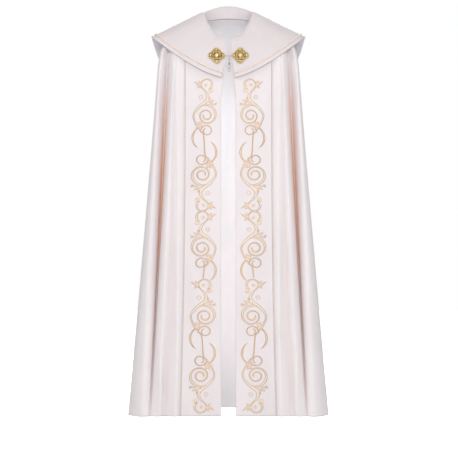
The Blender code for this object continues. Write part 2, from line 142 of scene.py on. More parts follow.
# Creases. side is -1 for the wearer's right, 1 for the left and 0 for both. round_* says how
# far round the half a crease's top and bottom lie, top and bottom how far down, and rise is
# below 0 for a trough. On the mantle the way round counts the fold lines and then the
# back's points from the seam, and the way down is a height. On the collar they are degrees
# from the front and a share of the way down.
Crease = namedtuple("Crease", "name side round_top round_bottom top bottom width rise")
MANTLE_CREASES = rows_of(Crease, (
    ("hem fold", 0, 3.35, 2.25, -1.13, -1.44, 0.012, 0.0060),
    ("hem fold trough", 0, 3.00, 1.75, -1.16, -1.44, 0.011, -0.0050),
    ("seam pull", 0, 1.60, 1.05, -0.30, -0.78, 0.009, -0.0022),
    ("panel soft ridge", 0, 2.35, 2.20, -0.36, -0.95, 0.010, 0.0022),
    ("panel low trough", 0, 1.55, 1.50, -0.80, -1.30, 0.013, -0.0030),
    ("outer fold bruise", 0, 7.10, 7.25, -0.95, -1.16, 0.020, -0.0016),
    ("outer fold slack", 0, 6.95, 7.05, -0.52, -0.80, 0.016, -0.0012),
    ("side slack", -1, 12.6, 12.2, -0.38, -0.90, 0.014, -0.0050),
    ("side slack", 1, 12.9, 13.2, -0.50, -1.05, 0.015, -0.0046),
    ("arm drag", -1, 16.4, 15.6, -0.22, -0.62, 0.013, -0.0048),
    ("arm drag", 1, 16.0, 15.5, -0.20, -0.70, 0.014, -0.0030),
    ("blade ridge", -1, 20.2, 20.8, -0.30, -0.86, 0.015, 0.0048),
    ("blade trough", 1, 20.6, 20.1, -0.42, -1.10, 0.016, -0.0054),
    ("back ridge", -1, 25.4, 25.0, -0.60, -1.30, 0.015, 0.0052),
    ("back trough", 1, 24.8, 25.6, -0.34, -0.95, 0.014, -0.0050),
    ("middle slack", -1, 28.3, 28.0, -0.28, -0.72, 0.014, -0.0044),
    ("middle slack", 1, 27.7, 28.2, -0.70, -1.34, 0.016, 0.0044),
    ("shoulder drag", -1, 6.6, 6.2, -0.12, -0.34, 0.010, -0.0016),
    ("shoulder drag", 1, 6.4, 6.3, -0.10, -0.30, 0.010, -0.0014),
))

COLLAR_CREASES = rows_of(Crease, (
    ("front stand", 0, 62, 40, 0.10, 0.55, 0.013, -0.0030),
    ("front stand ridge", 0, 74, 52, 0.14, 0.50, 0.012, 0.0016),
    ("shoulder", 0, 84, 70, 0.24, 0.86, 0.018, -0.0016),
    ("cape front", 0, 30, 22, 0.45, 0.95, 0.018, -0.0010),
    ("nape", -1, 166, 170, 0.30, 0.80, 0.020, -0.0022),
    ("nape", 1, 158, 150, 0.28, 0.88, 0.022, -0.0024),
    ("blade", -1, 132, 126, 0.34, 0.96, 0.022, -0.0026),
    ("blade", 1, 120, 116, 0.30, 0.90, 0.020, -0.0022),
))


def blend(a, b, t):
    return a + (b - a) * t


def smooth_step(low, high, value):
    t = min(1.0, max(0.0, (value - low) / (high - low)))
    return t * t * (3 - 2 * t)


def through_three(values, t):
    """The smooth curve through three values, at t = 0, 1/2 and 1."""
    first, middle, last = values
    return first * (1 - t) * (1 - 2 * t) + middle * 4 * t * (1 - t) + last * t * (2 * t - 1)


def body_sections():
    """Each section of the mantle, with its share of the way from the chest to the hem."""
    sections = [(section, 0.0) for section in SHOULDER_SECTIONS]
    for ring in range(RINGS_BELOW_CHEST + 1):
        share = ring / RINGS_BELOW_CHEST
        numbers = [through_three(values, share)
                   for values in zip(*(section[1:] for section in HANGING_SECTIONS))]
        sections.append((Section(f"hanging {ring}", *numbers), share))
    return sections


def on_section(section, across, along):
    """The point of a section's smooth outline in a direction."""
    power = section.square
    size = (abs(across) ** power + abs(along) ** power) ** (1 / power)
    return across / size, along / size


def front_of(section, x):
    """The place of the smooth outline's front that lies x from the middle."""
    across = x / section.half
    return across, -(1 - across ** section.square) ** (1 / section.square)


def place(section, across, along, smooth):
    """The world point at a place of a section's plan, as high as the smooth outline there."""
    side, forward = smooth
    end, curve = ((section.z_front, section.curve_front) if forward < 0
                  else (section.z_back, section.curve_back))
    reach = section.front if along < 0 else section.back
    return Vector((across * section.half, along * reach, blend(end, section.z_side, abs(side) ** curve)))


def half_outline(section, share):
    """Points of the wearer's left half, from the front edge to the middle of the back."""
    places = []
    seam_back = through_three(FOLD_LINES[0][4:7], share)
    for column in range(ORPHREY_COLUMNS):
        part = column / ORPHREY_COLUMNS
        x = blend(section.opening, section.seam, part)
        places.append((x, section.front - seam_back * part ** 2, front_of(section, x)))
    across, along = front_of(section, section.seam)
    seam_angle = math.atan2(across, -along)
    for i, line in enumerate(FOLD_LINES):
        angle = blend(seam_angle, math.radians(LAST_LINE_ANGLE), i / (len(FOLD_LINES) - 1))
        x = blend(section.seam, section.half, through_three(line[1:4], share))
        forward = section.front - through_three(line[4:7], share)
        places.append((x, forward, on_section(section, math.sin(angle), -math.cos(angle))))
    points = []
    for x, forward, smooth in places:
        across = blend(smooth[0], x / section.half, section.folded)
        along = blend(smooth[1], -forward / section.front, section.folded)
        points.append(place(section, across, along, smooth))
    for degrees, depth in back_stations(section, share):
        angle = math.radians(degrees)
        smooth = on_section(section, math.sin(angle), -math.cos(angle))
        points.append(place(section, smooth[0] * (1 - depth), smooth[1] * (1 - depth), smooth))
    points[-1].x = 0
    return points


def back_stations(section, share):
    """Angles and depths of the folds from the side round to the middle of the back."""
    depths = [through_three(fold[3:6], share) * section.folded for fold in BACK_FOLDS]
    for i, fold in enumerate(BACK_FOLDS):
        yield fold.valley, depths[i]
        yield blend(fold.valley, fold.ridge, RIDGE_EDGE), depths[i] * RIDGE_DROP
        yield fold.ridge, 0.0
        if i + 1 < len(BACK_FOLDS):
            yield blend(BACK_FOLDS[i + 1].valley, fold.ridge, RIDGE_EDGE), depths[i + 1] * RIDGE_DROP


def curve_through(points, counts):
    """A Catmull-Rom curve through points, with its own count of stretches in each gap."""
    line = []
    for i, count in enumerate(counts):
        a, b = points[max(i - 1, 0)], points[i]
        c, d = points[i + 1], points[min(i + 2, len(points) - 1)]
        for k in range(count):
            t = k / count
            line.append(0.5 * (2 * b + (c - a) * t + (2 * a - 5 * b + 4 * c - d) * t ** 2
                               + (3 * b - a - 3 * c + d) * t ** 3))
    line.append(points[-1].copy())
    return line


def down_through(rings, counts):
    """Fine rings through coarse ones."""
    columns = [curve_through(list(column), counts) for column in zip(*rings)]
    return [list(ring) for ring in zip(*columns)]


def whole_outline(half):
    """Both halves of an outline, from the right front edge round the back to the left."""
    return [Vector((-p.x, p.y, p.z)) for p in half] + half[-2::-1]


def outward(rings):
    """The direction out of the sheet at each of its points."""
    normals = []
    for r, ring in enumerate(rings):
        above, below = rings[max(r - 1, 0)], rings[min(r + 1, len(rings) - 1)]
        row = []
        for i in range(len(ring)):
            along = ring[min(i + 1, len(ring) - 1)] - ring[max(i - 1, 0)]
            row.append(along.cross(below[i] - above[i]).normalized())
        normals.append(row)
    return normals


def lengths_along(path):
    """How far along a path each of its points lies."""
    lengths = [0.0]
    for a, b in zip(path, path[1:]):
        lengths.append(lengths[-1] + (b - a).length)
    return lengths


def arc_lengths(ring):
    """How far along a ring each of its points lies, from its middle point."""
    lengths = lengths_along(ring)
    return [length - lengths[len(lengths) // 2] for length in lengths]


def ripple(distance, width):
    """The rounded profile of a crease, 1 in its middle."""
    return math.exp(-(distance / width) ** 2)


def fade(t):
    """How deep a crease is along its length, from 0 at its top to 0 at its bottom."""
    return math.sin(math.pi * min(1.0, max(0.0, t))) ** 0.7 if 0 < t < 1 else 0.0


def fine_sheet(halves, steps, rows):
    """The fine rings of a whole sheet, through the coarse rings of its left half."""
    fine = down_through([curve_through(half, steps) for half in halves], rows)
    return [whole_outline(half) for half in fine]


def pressed(smooth, creases, levels, column_at):
    """The rings of a smooth sheet with its creases, from each ring's level down the sheet."""
    normals = outward(smooth)
    rings = [[point.copy() for point in ring] for ring in smooth]
    last = len(smooth[0]) - 1
    for crease in creases:
        for side in (crease.side,) if crease.side else (-1, 1):
            for r, level in enumerate(levels):
                t = (level - crease.top) / (crease.bottom - crease.top)
                if not 0 < t < 1:
                    continue
                column = column_at(blend(crease.round_top, crease.round_bottom, t))
                column = column if side < 0 else last - column
                lengths = arc_lengths(smooth[r])
                middle = blend(lengths[int(column)], lengths[int(column) + 1], column % 1)
                for c, length in enumerate(lengths):
                    if abs(length - middle) < CREASE_REACH * crease.width:
                        rise = crease.rise * fade(t) * ripple(length - middle, crease.width)
                        rings[r][c] += normals[r][c] * rise
    return rings


def mantle_rings():
    """The fine rings of the mantle with its creases, and the column of the orphreys' seam."""
    coarse = [half_outline(section, share) for section, share in body_sections()]
    gaps = len(coarse[0]) - 1
    front_gaps = ORPHREY_COLUMNS + len(FOLD_LINES) - 1
    steps = [FRONT_STEPS] * front_gaps + [BACK_STEPS] * (gaps - front_gaps)
    rows = [SHOULDER_ROWS] * len(SHOULDER_SECTIONS) + [HANGING_ROWS] * RINGS_BELOW_CHEST
    smooth = fine_sheet(coarse, steps, rows)
    first_column = [sum(steps[:i]) for i in range(gaps + 1)]

    def column_at(lines_out):
        station = ORPHREY_COLUMNS + lines_out
        whole = int(station)
        return blend(first_column[whole], first_column[whole + 1], station - whole)

    levels = [ring[first_column[ORPHREY_COLUMNS + LEVEL_LINE]].z for ring in smooth]
    return pressed(smooth, MANTLE_CREASES, levels, column_at), first_column[ORPHREY_COLUMNS]


def piping_ring(inner, edge):
    """The ring of points that lies the piping's inset away from the collar's edge."""
    return [point.lerp(far, COLLAR_PIPING_INSET / (far - point).length)
            for point, far in zip(edge, inner)]


def cape_rings():
    """The fine rings of the collar with its creases, and the piping's ring number."""
    coarse = []
    for section in COLLAR_SECTIONS:
        power = 2 / section.square
        start = math.asin((section.opening / section.half) ** (1 / power))
        angles = [blend(start, math.pi / 2, i / COLLAR_FRONT_STEPS) for i in range(COLLAR_FRONT_STEPS)]
        angles += [math.pi / 2 * (1 + i / COLLAR_BACK_STEPS) for i in range(COLLAR_BACK_STEPS)]
        turns = [(math.sin(angle), -math.cos(angle)) for angle in angles]
        plan = [(out ** power, math.copysign(abs(along) ** power, along)) for out, along in turns]
        plan.append((0.0, 1.0))
        coarse.append([place(section, *point, point) for point in plan])
    coarse.insert(-1, piping_ring(coarse[-2], coarse[-1]))
    smooth = fine_sheet(coarse, [COLLAR_STEPS] * (len(coarse[0]) - 1), [COLLAR_ROWS] * (len(coarse) - 1))
    last = len(smooth[0]) - 1
    levels = [r / (len(smooth) - 1) for r in range(len(smooth))]
    rings = pressed(smooth, COLLAR_CREASES, levels, lambda degrees: round(degrees / 180 * last / 2))
    return rings, len(smooth) - 1 - COLLAR_ROWS


# How strongly a hollow takes its painted shade, which changes down the garment: heights from the top
# down, and the shares there.
HOLLOW_SHADE = ((-0.13, 0.35), (-0.27, 1.10), (-0.60, 1.16), (-1.02, 0.72), (-1.22, 0.70),
               (-1.40, 0.6))


def through_heights(table, height):
    """The value at a height, from a table of heights and values from the top down."""
    for (top, a), (low, b) in zip(table, table[1:]):
        if height > low:
            return blend(a, b, smooth_step(top, low, height))
    return table[-1][1]


def hollow_of(ring):
    """How far each point of a ring lies inside the ring's convex hull, scaled by how strongly the
    painted shade of the folds shows at the ring's height.
    """
    share = through_heights(HOLLOW_SHADE, ring[len(ring) // 4].z)
    plan = [point.to_2d() for point in ring]
    hull = [plan[i] for i in convex_hull_2d(plan)]
    depths = []
    for point in plan:
        nearest = 1.0
        for a, b in zip(hull, hull[1:] + hull[:1]):
            edge = b - a
            t = min(1.0, max(0.0, (point - a).dot(edge) / max(edge.length_squared, 1e-12)))
            nearest = min(nearest, (a + edge * t - point).length)
        depths.append(nearest * share)
    return depths


# ----------------------------------------------------------------------- making meshes
def only(*objects):
    """Selects these objects and nothing else, and makes the first the active one."""
    bpy.ops.object.select_all(action="DESELECT")
    for chosen in objects:
        chosen.select_set(True)
    bpy.context.view_layer.objects.active = objects[0]


def settle(made):
    """Applies the object's modifiers and its place, so that it sits at the origin."""
    only(made)
    for modifier in list(made.modifiers):
        bpy.ops.object.modifier_apply(modifier=modifier.name)
    bpy.ops.object.transform_apply(location=True, rotation=True, scale=True)
    return made


def join(name, pieces):
    """One mesh from several, in their places."""
    only(*pieces)
    bpy.ops.object.transform_apply(location=True, rotation=True, scale=True)
    bpy.ops.object.join()
    made = bpy.context.object
    made.name = made.data.name = name
    return made


def start_from(primitive, squash=None, **settings):
    """A primitive at its size and place, squashed from front to back where that is asked for."""
    bpy.ops.object.select_all(action="DESELECT")
    getattr(bpy.ops.mesh, f"primitive_{primitive}_add")(**settings)
    if squash:
        bpy.ops.object.mode_set(mode="EDIT")
        bpy.ops.transform.resize(value=(1, squash, 1), center_override=settings["location"])
        bpy.ops.object.mode_set(mode="OBJECT")
    bpy.ops.object.transform_apply(location=True, rotation=True, scale=True)
    return bpy.context.object


def grid_faces(rows, width):
    """The faces of a sheet of points in rows."""
    return [(r * width + c, r * width + c + 1, (r + 1) * width + c + 1, (r + 1) * width + c)
            for r in range(rows - 1) for c in range(width - 1)]


def object_from(name, points, faces, uvs, **attributes):
    """A mesh object from points and faces, with uvs and attributes given for each point."""
    mesh = bpy.data.meshes.new(name)
    mesh.from_pydata([tuple(point) for point in points], [], faces)
    layer = mesh.uv_layers.new(name="cloth")
    for loop in mesh.loops:
        layer.data[loop.index].uv = uvs[loop.vertex_index]
    for key, values in attributes.items():
        mesh.attributes.new(key, "FLOAT", "POINT").data.foreach_set("value", values)
    mesh.shade_smooth()
    made = bpy.data.objects.new(name, mesh)
    bpy.context.scene.collection.objects.link(made)
    return made


def cloth_sheet(name, rings, wall, face, back):
    """A sheet of cloth whose outer face runs through rings of points, with its wall inside."""
    width = len(rings[0])
    points = [point for ring in rings for point in ring]
    across = arc_lengths(rings[len(rings) // 2])
    uvs = []
    down = [0.0] * width
    for r, ring in enumerate(rings):
        if r:
            down = [length + (point - above).length
                    for length, point, above in zip(down, ring, rings[r - 1])]
        uvs += [(across[c], -down[c]) for c in range(width)]
    hollows = [depth for ring in rings for depth in hollow_of(ring)]
    made = object_from(name, points, grid_faces(len(rings), width), uvs, hollow=hollows)
    made.data.materials.append(face)
    made.data.materials.append(back)
    solid = made.modifiers.new("wall", "SOLIDIFY")
    solid.thickness = wall
    solid.offset = -1
    solid.material_offset = 1
    solid.material_offset_rim = 0
    return settle(made)


def resample(path, step):
    """Points at even steps along a path."""
    lengths = lengths_along(path)
    count = max(2, round(lengths[-1] / step))
    points, k = [], 0
    for i in range(count + 1):
        target = lengths[-1] * i / count
        while k < len(lengths) - 2 and lengths[k + 1] < target:
            k += 1
        share = (target - lengths[k]) / max(lengths[k + 1] - lengths[k], 1e-9)
        points.append(path[k].lerp(path[k + 1], share))
    return points


def directions_along(points):
    """Each point of a line with two directions square to the line, carried along untwisted."""
    up = Vector((0, -1, 0))
    for i, point in enumerate(points):
        tangent = (points[min(i + 1, len(points) - 1)] - points[max(i - 1, 0)]).normalized()
        across = tangent.cross(up).normalized()
        up = across.cross(tangent).normalized()
        yield point, across, up


def tube(points, radii, sides):
    """Points and faces of a round tube along points, with a radius at each."""
    verts, faces = [], []
    for (point, across, up), radius in zip(directions_along(points), radii):
        for k in range(sides):
            angle = 2 * math.pi * k / sides
            verts.append(point + (across * math.cos(angle) + up * math.sin(angle)) * radius)
    for a in range(0, (len(points) - 1) * sides, sides):
        for k in range(sides):
            j = (k + 1) % sides
            faces.append((a + sides + k, a + sides + j, a + j, a + k))
    faces.append(tuple(range(sides)))
    faces.append(tuple(range(len(verts) - sides, len(verts)))[::-1])
    return verts, faces


TURN_STEPS = 8              # points in one turn of a cord's strand
STRAND_SIDES = 6
STRAND_SHARE = 0.27         # radius of a strand, as a share of the cord's thickness


def twisted_cord(name, path, thickness, pitch, finish):
    """Two strands twisted round each other along a path."""
    route = resample(path, pitch / TURN_STEPS)
    points, faces, uvs = [], [], []
    strand = thickness * STRAND_SHARE
    for turn in (0, math.pi):
        line = []
        for i, (point, across, up) in enumerate(directions_along(route)):
            angle = turn + 2 * math.pi * i / TURN_STEPS
            offset = (across * math.cos(angle) + up * math.sin(angle)) * (thickness / 2 - strand)
            line.append(point + offset)
        verts, sides = tube(line, [strand] * len(line), STRAND_SIDES)
        faces += [tuple(index + len(points) for index in face) for face in sides]
        points += verts
        uvs += [(i // STRAND_SIDES * pitch / TURN_STEPS, i % STRAND_SIDES / STRAND_SIDES)
                for i in range(len(verts))]
    made = object_from(name, points, faces, uvs)
    made.data.materials.append(finish)
    return made


# -------------------------------------------------------------------- shader expressions
def sum_of(operation, reflected=False):
    """An arithmetic operator of Term, with its sides the other way round where it is reflected."""
    def worked(self, other):
        return self.math(operation, *((other, self) if reflected else (self, other)))
    return worked


class Term:
    """A shader socket that takes part in sums."""

    def __init__(self, paint, socket):
        self.paint = paint
        self.socket = socket

    def math(self, operation, *values):
        return self.paint.node("ShaderNodeMath", dict(enumerate(values)), operation=operation)

    __add__, __radd__ = sum_of("ADD"), sum_of("ADD", True)
    __sub__, __rsub__ = sum_of("SUBTRACT"), sum_of("SUBTRACT", True)
    __mul__, __rmul__ = sum_of("MULTIPLY"), sum_of("MULTIPLY", True)

    def sine(self):
        return self.math("SINE", self)

    def size(self):
        return self.math("ABSOLUTE", self)

    def between(self, low, high):
        """0 below low and 1 above high, with soft ends."""
        return self.paint.node("ShaderNodeMapRange", {0: self, 1: low, 2: high},
                               interpolation_type="SMOOTHSTEP")


class Paint:
    """A material under way: its nodes are added by expressions."""

    def __init__(self, name):
        self.material = bpy.data.materials.new(name)
        self.material.use_nodes = True
        self.tree = self.material.node_tree
        self.shader = self.tree.nodes["Principled BSDF"]

    def node(self, kind, inputs=None, output=0, **settings):
        made = self.tree.nodes.new(kind)
        for key, value in settings.items():
            setattr(made, key, value)
        for key, value in (inputs or {}).items():
            self.feed(made.inputs[key], value)
        return Term(self, made.outputs[output])

    def feed(self, socket, value):
        if isinstance(value, Term):
            self.tree.links.new(value.socket, socket)
        elif socket.type == "RGBA" and len(value) == 3:
            socket.default_value = (*value, 1.0)
        else:
            socket.default_value = value

    def set(self, **values):
        """Feeds the shader's sockets, whose names are written with _ for a space."""
        for key, value in values.items():
            self.feed(self.shader.inputs[key.replace("_", " ")], value)

    def mix(self, a, b, factor):
        return self.node("ShaderNodeMix", {0: factor, 6: a, 7: b}, 2, data_type="RGBA")

    def noise(self, vector, scale, detail=2.0, roughness=0.5):
        inputs = {"Vector": vector, "Scale": scale, "Detail": detail, "Roughness": roughness}
        return self.node("ShaderNodeTexNoise", inputs)

    def stretched(self, vector, scale):
        return self.node("ShaderNodeVectorMath", {0: vector, 1: scale}, operation="MULTIPLY")

    def place(self):
        return self.node("ShaderNodeTexCoord", {}, 3)

    def uv(self):
        return self.node("ShaderNodeUVMap", {}, uv_map="cloth")

    def axis(self, vector, index):
        return self.node("ShaderNodeSeparateXYZ", {0: vector}, index)

    def value(self, name):
        return self.node("ShaderNodeAttribute", {}, 2, attribute_name=name)

    def bump(self, height, distance, strength, under=None):
        inputs = {"Height": height, "Distance": distance, "Strength": strength}
        if under:
            inputs["Normal"] = under
        return self.node("ShaderNodeBump", inputs)


DIP_SHADE = (0.935, 0.880, 0.868)    # painted shade of the satin in a shallow dip
DIP_DEPTHS = (0.003, 0.016)         # depths at which that painted shade starts and is full
FOLD_SHADE_START = 0.018                  # depth at which the painted shade of the deep folds starts
CLOUD_STRETCH = (9.0, 4.0, 1.0)     # spots of the broad clouding to a metre, across and down
CLOUD_SHADE = 0.955                 # share of the colour left where it is darkest
SLUB_STRETCH = (420.0, 26.0, 1.0)   # the same for the thick threads in the weave
SLUB_SHADE = 0.97
OUTLINE_EDGES = (0.75, 1.35)        # where a stroke's outline fades in, in widths of it
WRAP_PITCH = 0.0011                 # between the wraps of a metallic thread
WRAP_SLANT = 6.28                   # how far they lean round the strand, in radians
CORD_SPECKS = 260.0                 # specks to a metre of the cord
METAL_WEAR = 900.0                  # worn spots to a metre of metal
WEAR_DEPTH = 0.0012                 # height by which a worn spot counts as deeper or higher


def shaded(colour, share):
    """A colour with a share of its brightness left."""
    return [c * share for c in colour]


def satin(name, colour, look):
    """Satin with a fine weave, soft clouding and painted shade in its folds: pinker in shallow dips and
    a warmer brown deep in the folds.
    """
    paint = Paint(name)
    uv = paint.uv()
    turns = 2 * math.pi / look.weave_pitch
    warp = (paint.axis(uv, 0) * turns).sine()
    weft = (paint.axis(uv, 1) * turns * 0.5 + paint.axis(uv, 0) * turns * 0.5).sine()
    slub = paint.noise(paint.stretched(uv, SLUB_STRETCH), 1.0, 3.0)
    cloud = paint.noise(paint.stretched(uv, CLOUD_STRETCH), 1.0, 3.0, 0.6)
    hollow = paint.value("hollow")
    lit = paint.mix(colour, shaded(colour, CLOUD_SHADE), cloud.between(0.38, 0.66))
    streaked = paint.mix(lit, shaded(colour, SLUB_SHADE), slub.between(0.45, 0.75))
    # Painted shade: by how far a point lies inside the hull, the satin turns pinker in shallow dips and
    # warm brown in deep folds.
    dip = [c * tint for c, tint in zip(colour, DIP_SHADE)]
    dipped = paint.mix(streaked, dip, hollow.between(*DIP_DEPTHS))
    paint.set(Base_Color=paint.mix(dipped, look.deep, hollow.between(FOLD_SHADE_START, look.deep_fold)),
              Roughness=cloud * 0.14 + (look.roughness - 0.07) + slub * 0.05,
              Sheen_Weight=look.sheen, Sheen_Roughness=0.45, Specular_IOR_Level=0.4)
    fine = paint.bump(warp * weft * 0.5 + slub, 0.00012, 0.35)
    paint.set(Normal=paint.bump(cloud, 0.004, 0.25, fine))
    return paint.material


def thread(name, sewn):
    """Stitched thread: pale in the middle of a stroke and darker along its edges."""
    paint = Paint(name)
    uv = paint.uv()
    along, across = paint.axis(uv, 0), paint.axis(uv, 1)
    inside = (1 - across.size()) * paint.value("half_width")
    edges = [sewn.thread_edge * share for share in OUTLINE_EDGES]
    rim = (1 - inside.between(*edges)) * paint.value("outlined")
    patch = paint.noise(paint.place(), 55.0, 2.0)
    stitch = ((along * (2 * math.pi / sewn.stitch_pitch)) + across * 1.6).sine()
    shade = (patch.between(0.35, 0.65) * 0.4 + 0.6) * paint.value("outer")
    deep = paint.mix(sewn.edge_thread, sewn.shadow_thread, shade)
    body = paint.mix(sewn.pale_thread, sewn.amber_thread, paint.value("tone"))
    paint.set(Base_Color=paint.mix(body, deep, rim * 0.9), Roughness=0.38 + stitch * 0.06,
              Metallic=0.0, Sheen_Weight=0.2, Sheen_Roughness=0.35, Specular_IOR_Level=0.6)
    paint.set(Normal=paint.bump(stitch, 0.0002, 0.7))
    return paint.material


def gold_cord(name, colour, dark):
    """Twisted metallic cord."""
    paint = Paint(name)
    uv = paint.uv()
    wrap = (paint.axis(uv, 0) * (2 * math.pi / WRAP_PITCH) + paint.axis(uv, 1) * WRAP_SLANT).sine()
    speck = paint.noise(paint.place(), CORD_SPECKS, 2.0)
    paint.set(Base_Color=paint.mix(colour, dark, speck.between(0.5, 0.72)),
              Metallic=0.15, Roughness=0.36 + speck * 0.12)
    paint.set(Normal=paint.bump(wrap, 0.0001, 0.6))
    return paint.material


def old_metal(name, bright, dark, low, high):
    """Worn metal: polished on top and dark in the recesses, by the height on the piece; that dark is
    tarnish and painted shade together.
    """
    paint = Paint(name)
    worn = paint.noise(paint.place(), METAL_WEAR, 3.0)
    height = paint.value("height") + (worn - 0.5) * WEAR_DEPTH
    polish = height.between(low, high)
    paint.set(Base_Color=paint.mix(dark, bright, polish), Metallic=1.0,
              Roughness=0.56 - polish * 0.26 + worn * 0.1)
    paint.set(Normal=paint.bump(worn, 0.00015, 0.5))
    return paint.material


# ---------------------------------------------------------------- settings of the add-on
def colour(name, text, value):
    return FloatVectorProperty(name=name, description=text, default=value, subtype="COLOR", size=3,
                               min=0, max=1)


def length(name, text, value):
    return FloatProperty(name=name, description=text, unit="LENGTH", precision=5, default=value)


def strength(name, text, value):
    return FloatProperty(name=name, description=text, min=0, default=value)


class ClothSettings(bpy.types.PropertyGroup):
    blush: colour("Blush", "Colour of the mantle's satin", (0.780, 0.740, 0.747))
    # The deep-fold colour is painted shade: the warm brown that shade and light bounced in a deep fold
    # give the satin.
    deep: colour("Deep folds", "Tone of the satin deep in a fold", (0.805, 0.555, 0.430))
    lining: colour("Lining", "Colour of the lining", (0.91, 0.90, 0.92))
    cape: colour("Collar", "Colour of the collar's satin", (0.697, 0.644, 0.655))
    band: colour("Orphrey", "Colour of the orphreys' satin", (0.745, 0.697, 0.705))
    wall: length("Wall", "Thickness of the mantle", 0.0018)
    band_wall: length("Orphrey wall", "Thickness of an orphrey", 0.0016)
    cape_wall: length("Collar wall", "Thickness of the collar", 0.0030)
    weave_pitch: length("Weave pitch", "Distance between the ribs of the weave", 0.0012)
    # deep_fold is the depth at which a fold's painted shade is full.
    deep_fold: length("Deep fold", "Depth at which a fold has its full deep tone", 0.060)
    roughness: strength("Roughness", "Roughness of the satin", 0.50)
    sheen: strength("Sheen", "Strength of the cloth's sheen", 0.08)


class StitchSettings(bpy.types.PropertyGroup):
    pale_thread: colour("Pale thread", "Middle of the embroidered strokes", (0.86, 0.80, 0.74))
    amber_thread: colour("Amber thread", "Deeper tone of the leaves and buds", (0.80, 0.57, 0.37))
    edge_thread: colour("Edge thread", "Outline of the strokes", (0.58, 0.335, 0.13))
    shadow_thread: colour("Shadow thread", "Darkest thread", (0.15, 0.08, 0.035))
    thread_edge: length("Outline", "Width of a stroke's outline", 0.0017)
    stitch_pitch: length("Stitch pitch", "Distance between the stitches", 0.0009)
    rise: length("Relief", "Greatest height of the embroidery", 0.0012)
    piping: length("Piping", "Thickness of the piping along the orphreys", 0.0026)
    collar_piping: length("Collar piping", "Thickness of the piping on the collar", 0.0046)
    twist: length("Twist", "Length of one turn of the piping", 0.0075)
    # Partly the cord's pale gold and partly painted shade: the seam's ditch greys the piping towards
    # pink.
    piping_gold_and_seam_shade: colour("Piping", "Colour of the piping along the orphreys", (0.81, 0.73, 0.66))
    collar_colour: colour("Collar piping", "Colour of the piping on the collar", (0.94, 0.80, 0.69))
    piping_dark: colour("Piping shade", "Colour between the piping's strands", (0.66, 0.54, 0.45))


class ClaspSettings(bpy.types.PropertyGroup):
    gold: colour("Gold", "Polished gold of the plates", (1.0, 0.81, 0.43))
    # The plates' recesses are dark from tarnish and from painted shade together.
    patina_and_shade: colour("Patina", "Recesses of the plates", (0.12, 0.050, 0.010))
    steel: colour("Wire", "Hook, ring and chain", (0.44, 0.37, 0.26))
    dark: colour("Dark metal", "Bead and the wire's shade", (0.06, 0.05, 0.04))
    wire: length("Wire thickness", "Thickness of the ring's and the chain's wire", 0.0014)


class StageSettings(bpy.types.PropertyGroup):
    floor: colour("Floor", "Colour of the floor", (0.90, 0.90, 0.90))
    floor_glow: strength("Floor glow", "How bright the floor looks", 1.0)
    floor_height: length("Floor height", "Height of the floor below the shoulders", -1.56)
    camera_height: length("Camera height", "Height of the camera", -0.7363)
    camera_distance: length("Camera distance", "From the camera to the picture plane", 7.0)
    picture_plane: length("Picture plane", "How far the picture plane is from the origin", -0.08)
    picture_width: length("Picture width", "Width of the picture at that plane", 1.6946)
    front_light: strength("Front light", "Power of the front softbox", 94.0)
    side_light: strength("Side lights", "Power of each high side softbox", 46.0)
    low_light: strength("Low light", "Power of the softbox near the floor", 19.0)
    inner_light: strength("Inner light", "Power of the lamp in the hollow", 0.9)
    back_light: strength("Back light", "Power of the softbox behind", 150.0)
    room_light: strength("Room light", "Strength of the light all round", 0.42)


def cloth():
    return bpy.context.scene.cope_cloth


def stitches():
    return bpy.context.scene.cope_stitches


def dress(made, slot, *nodes, body="root"):
    """Gives a finished piece its body and hides the frame nodes that it stands for; slot is not used."""
    if nodes:
        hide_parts(*nodes)
    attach(made, body)
    return made


# ------------------------------------------------------------------------ pieces of cloth
class COPE_OT_mantle(bpy.types.Operator):
    """Make the half-round mantle, worn, with its folds and creases"""
    bl_idname = "cope.mantle"
    bl_label = "Mantle"

    def execute(self, context):
        look = cloth()
        rings, _ = mantle_rings()
        face = satin("blush satin", look.blush, look)
        lining = satin("lining", look.lining, look)
        made = cloth_sheet("mantle", rings, look.wall, face, lining)
        dress(made, "satin", "body")
        return {"FINISHED"}


def band_grid(side):
    """The points of an orphrey's outer face, in rows from the top, out from its front edge."""
    rings, seam = mantle_rings()
    normals = outward(rings)
    last = len(rings[0]) - 1
    columns = range(seam + 1) if side < 0 else range(last, last - seam - 1, -1)
    lift = SEAM_GAP + cloth().band_wall
    first = ORPHREY_TOP * SHOULDER_ROWS
    return [[rings[r][c] + normals[r][c] * lift for c in columns] for r in range(first, len(rings))]


SIDES = {"right": -1, "left": 1}


class COPE_OT_orphreys(bpy.types.Operator):
    """Make the two flat bands down the fronts"""
    bl_idname = "cope.orphreys"
    bl_label = "Orphreys"

    def execute(self, context):
        look = cloth()
        face = satin("orphrey satin", look.band, look)
        for name, side in SIDES.items():
            rows = [row[::-side] for row in band_grid(side)]
            made = cloth_sheet(f"orphrey_band_{name}", rows, look.band_wall, face, face)
            dress(made, "orphrey_satin", f"orphrey_{name}")
        return {"FINISHED"}


class COPE_OT_collar(bpy.types.Operator):
    """Make the wide cape collar with its rolled top"""
    bl_idname = "cope.collar"
    bl_label = "Collar"

    def execute(self, context):
        look = cloth()
        rings, _ = cape_rings()
        face = satin("collar satin", look.cape, look)
        lining = satin("collar lining", look.lining, look)
        made = cloth_sheet("cape_collar", rings, look.cape_wall, face, lining)
        dress(made, "collar_satin", "collar")
        return {"FINISHED"}


PIPING_OUT, PIPING_FORWARD = 0.55, 0.3      # its middle past the band's edge, in thicknesses
COLLAR_CORD_GAP = 0.0002
COLLAR_CORD_TWIST = 1.4     # length of its turns against the seam piping's
SEWN_SHADE = 0.86           # of the collar cord's and the hem's thread


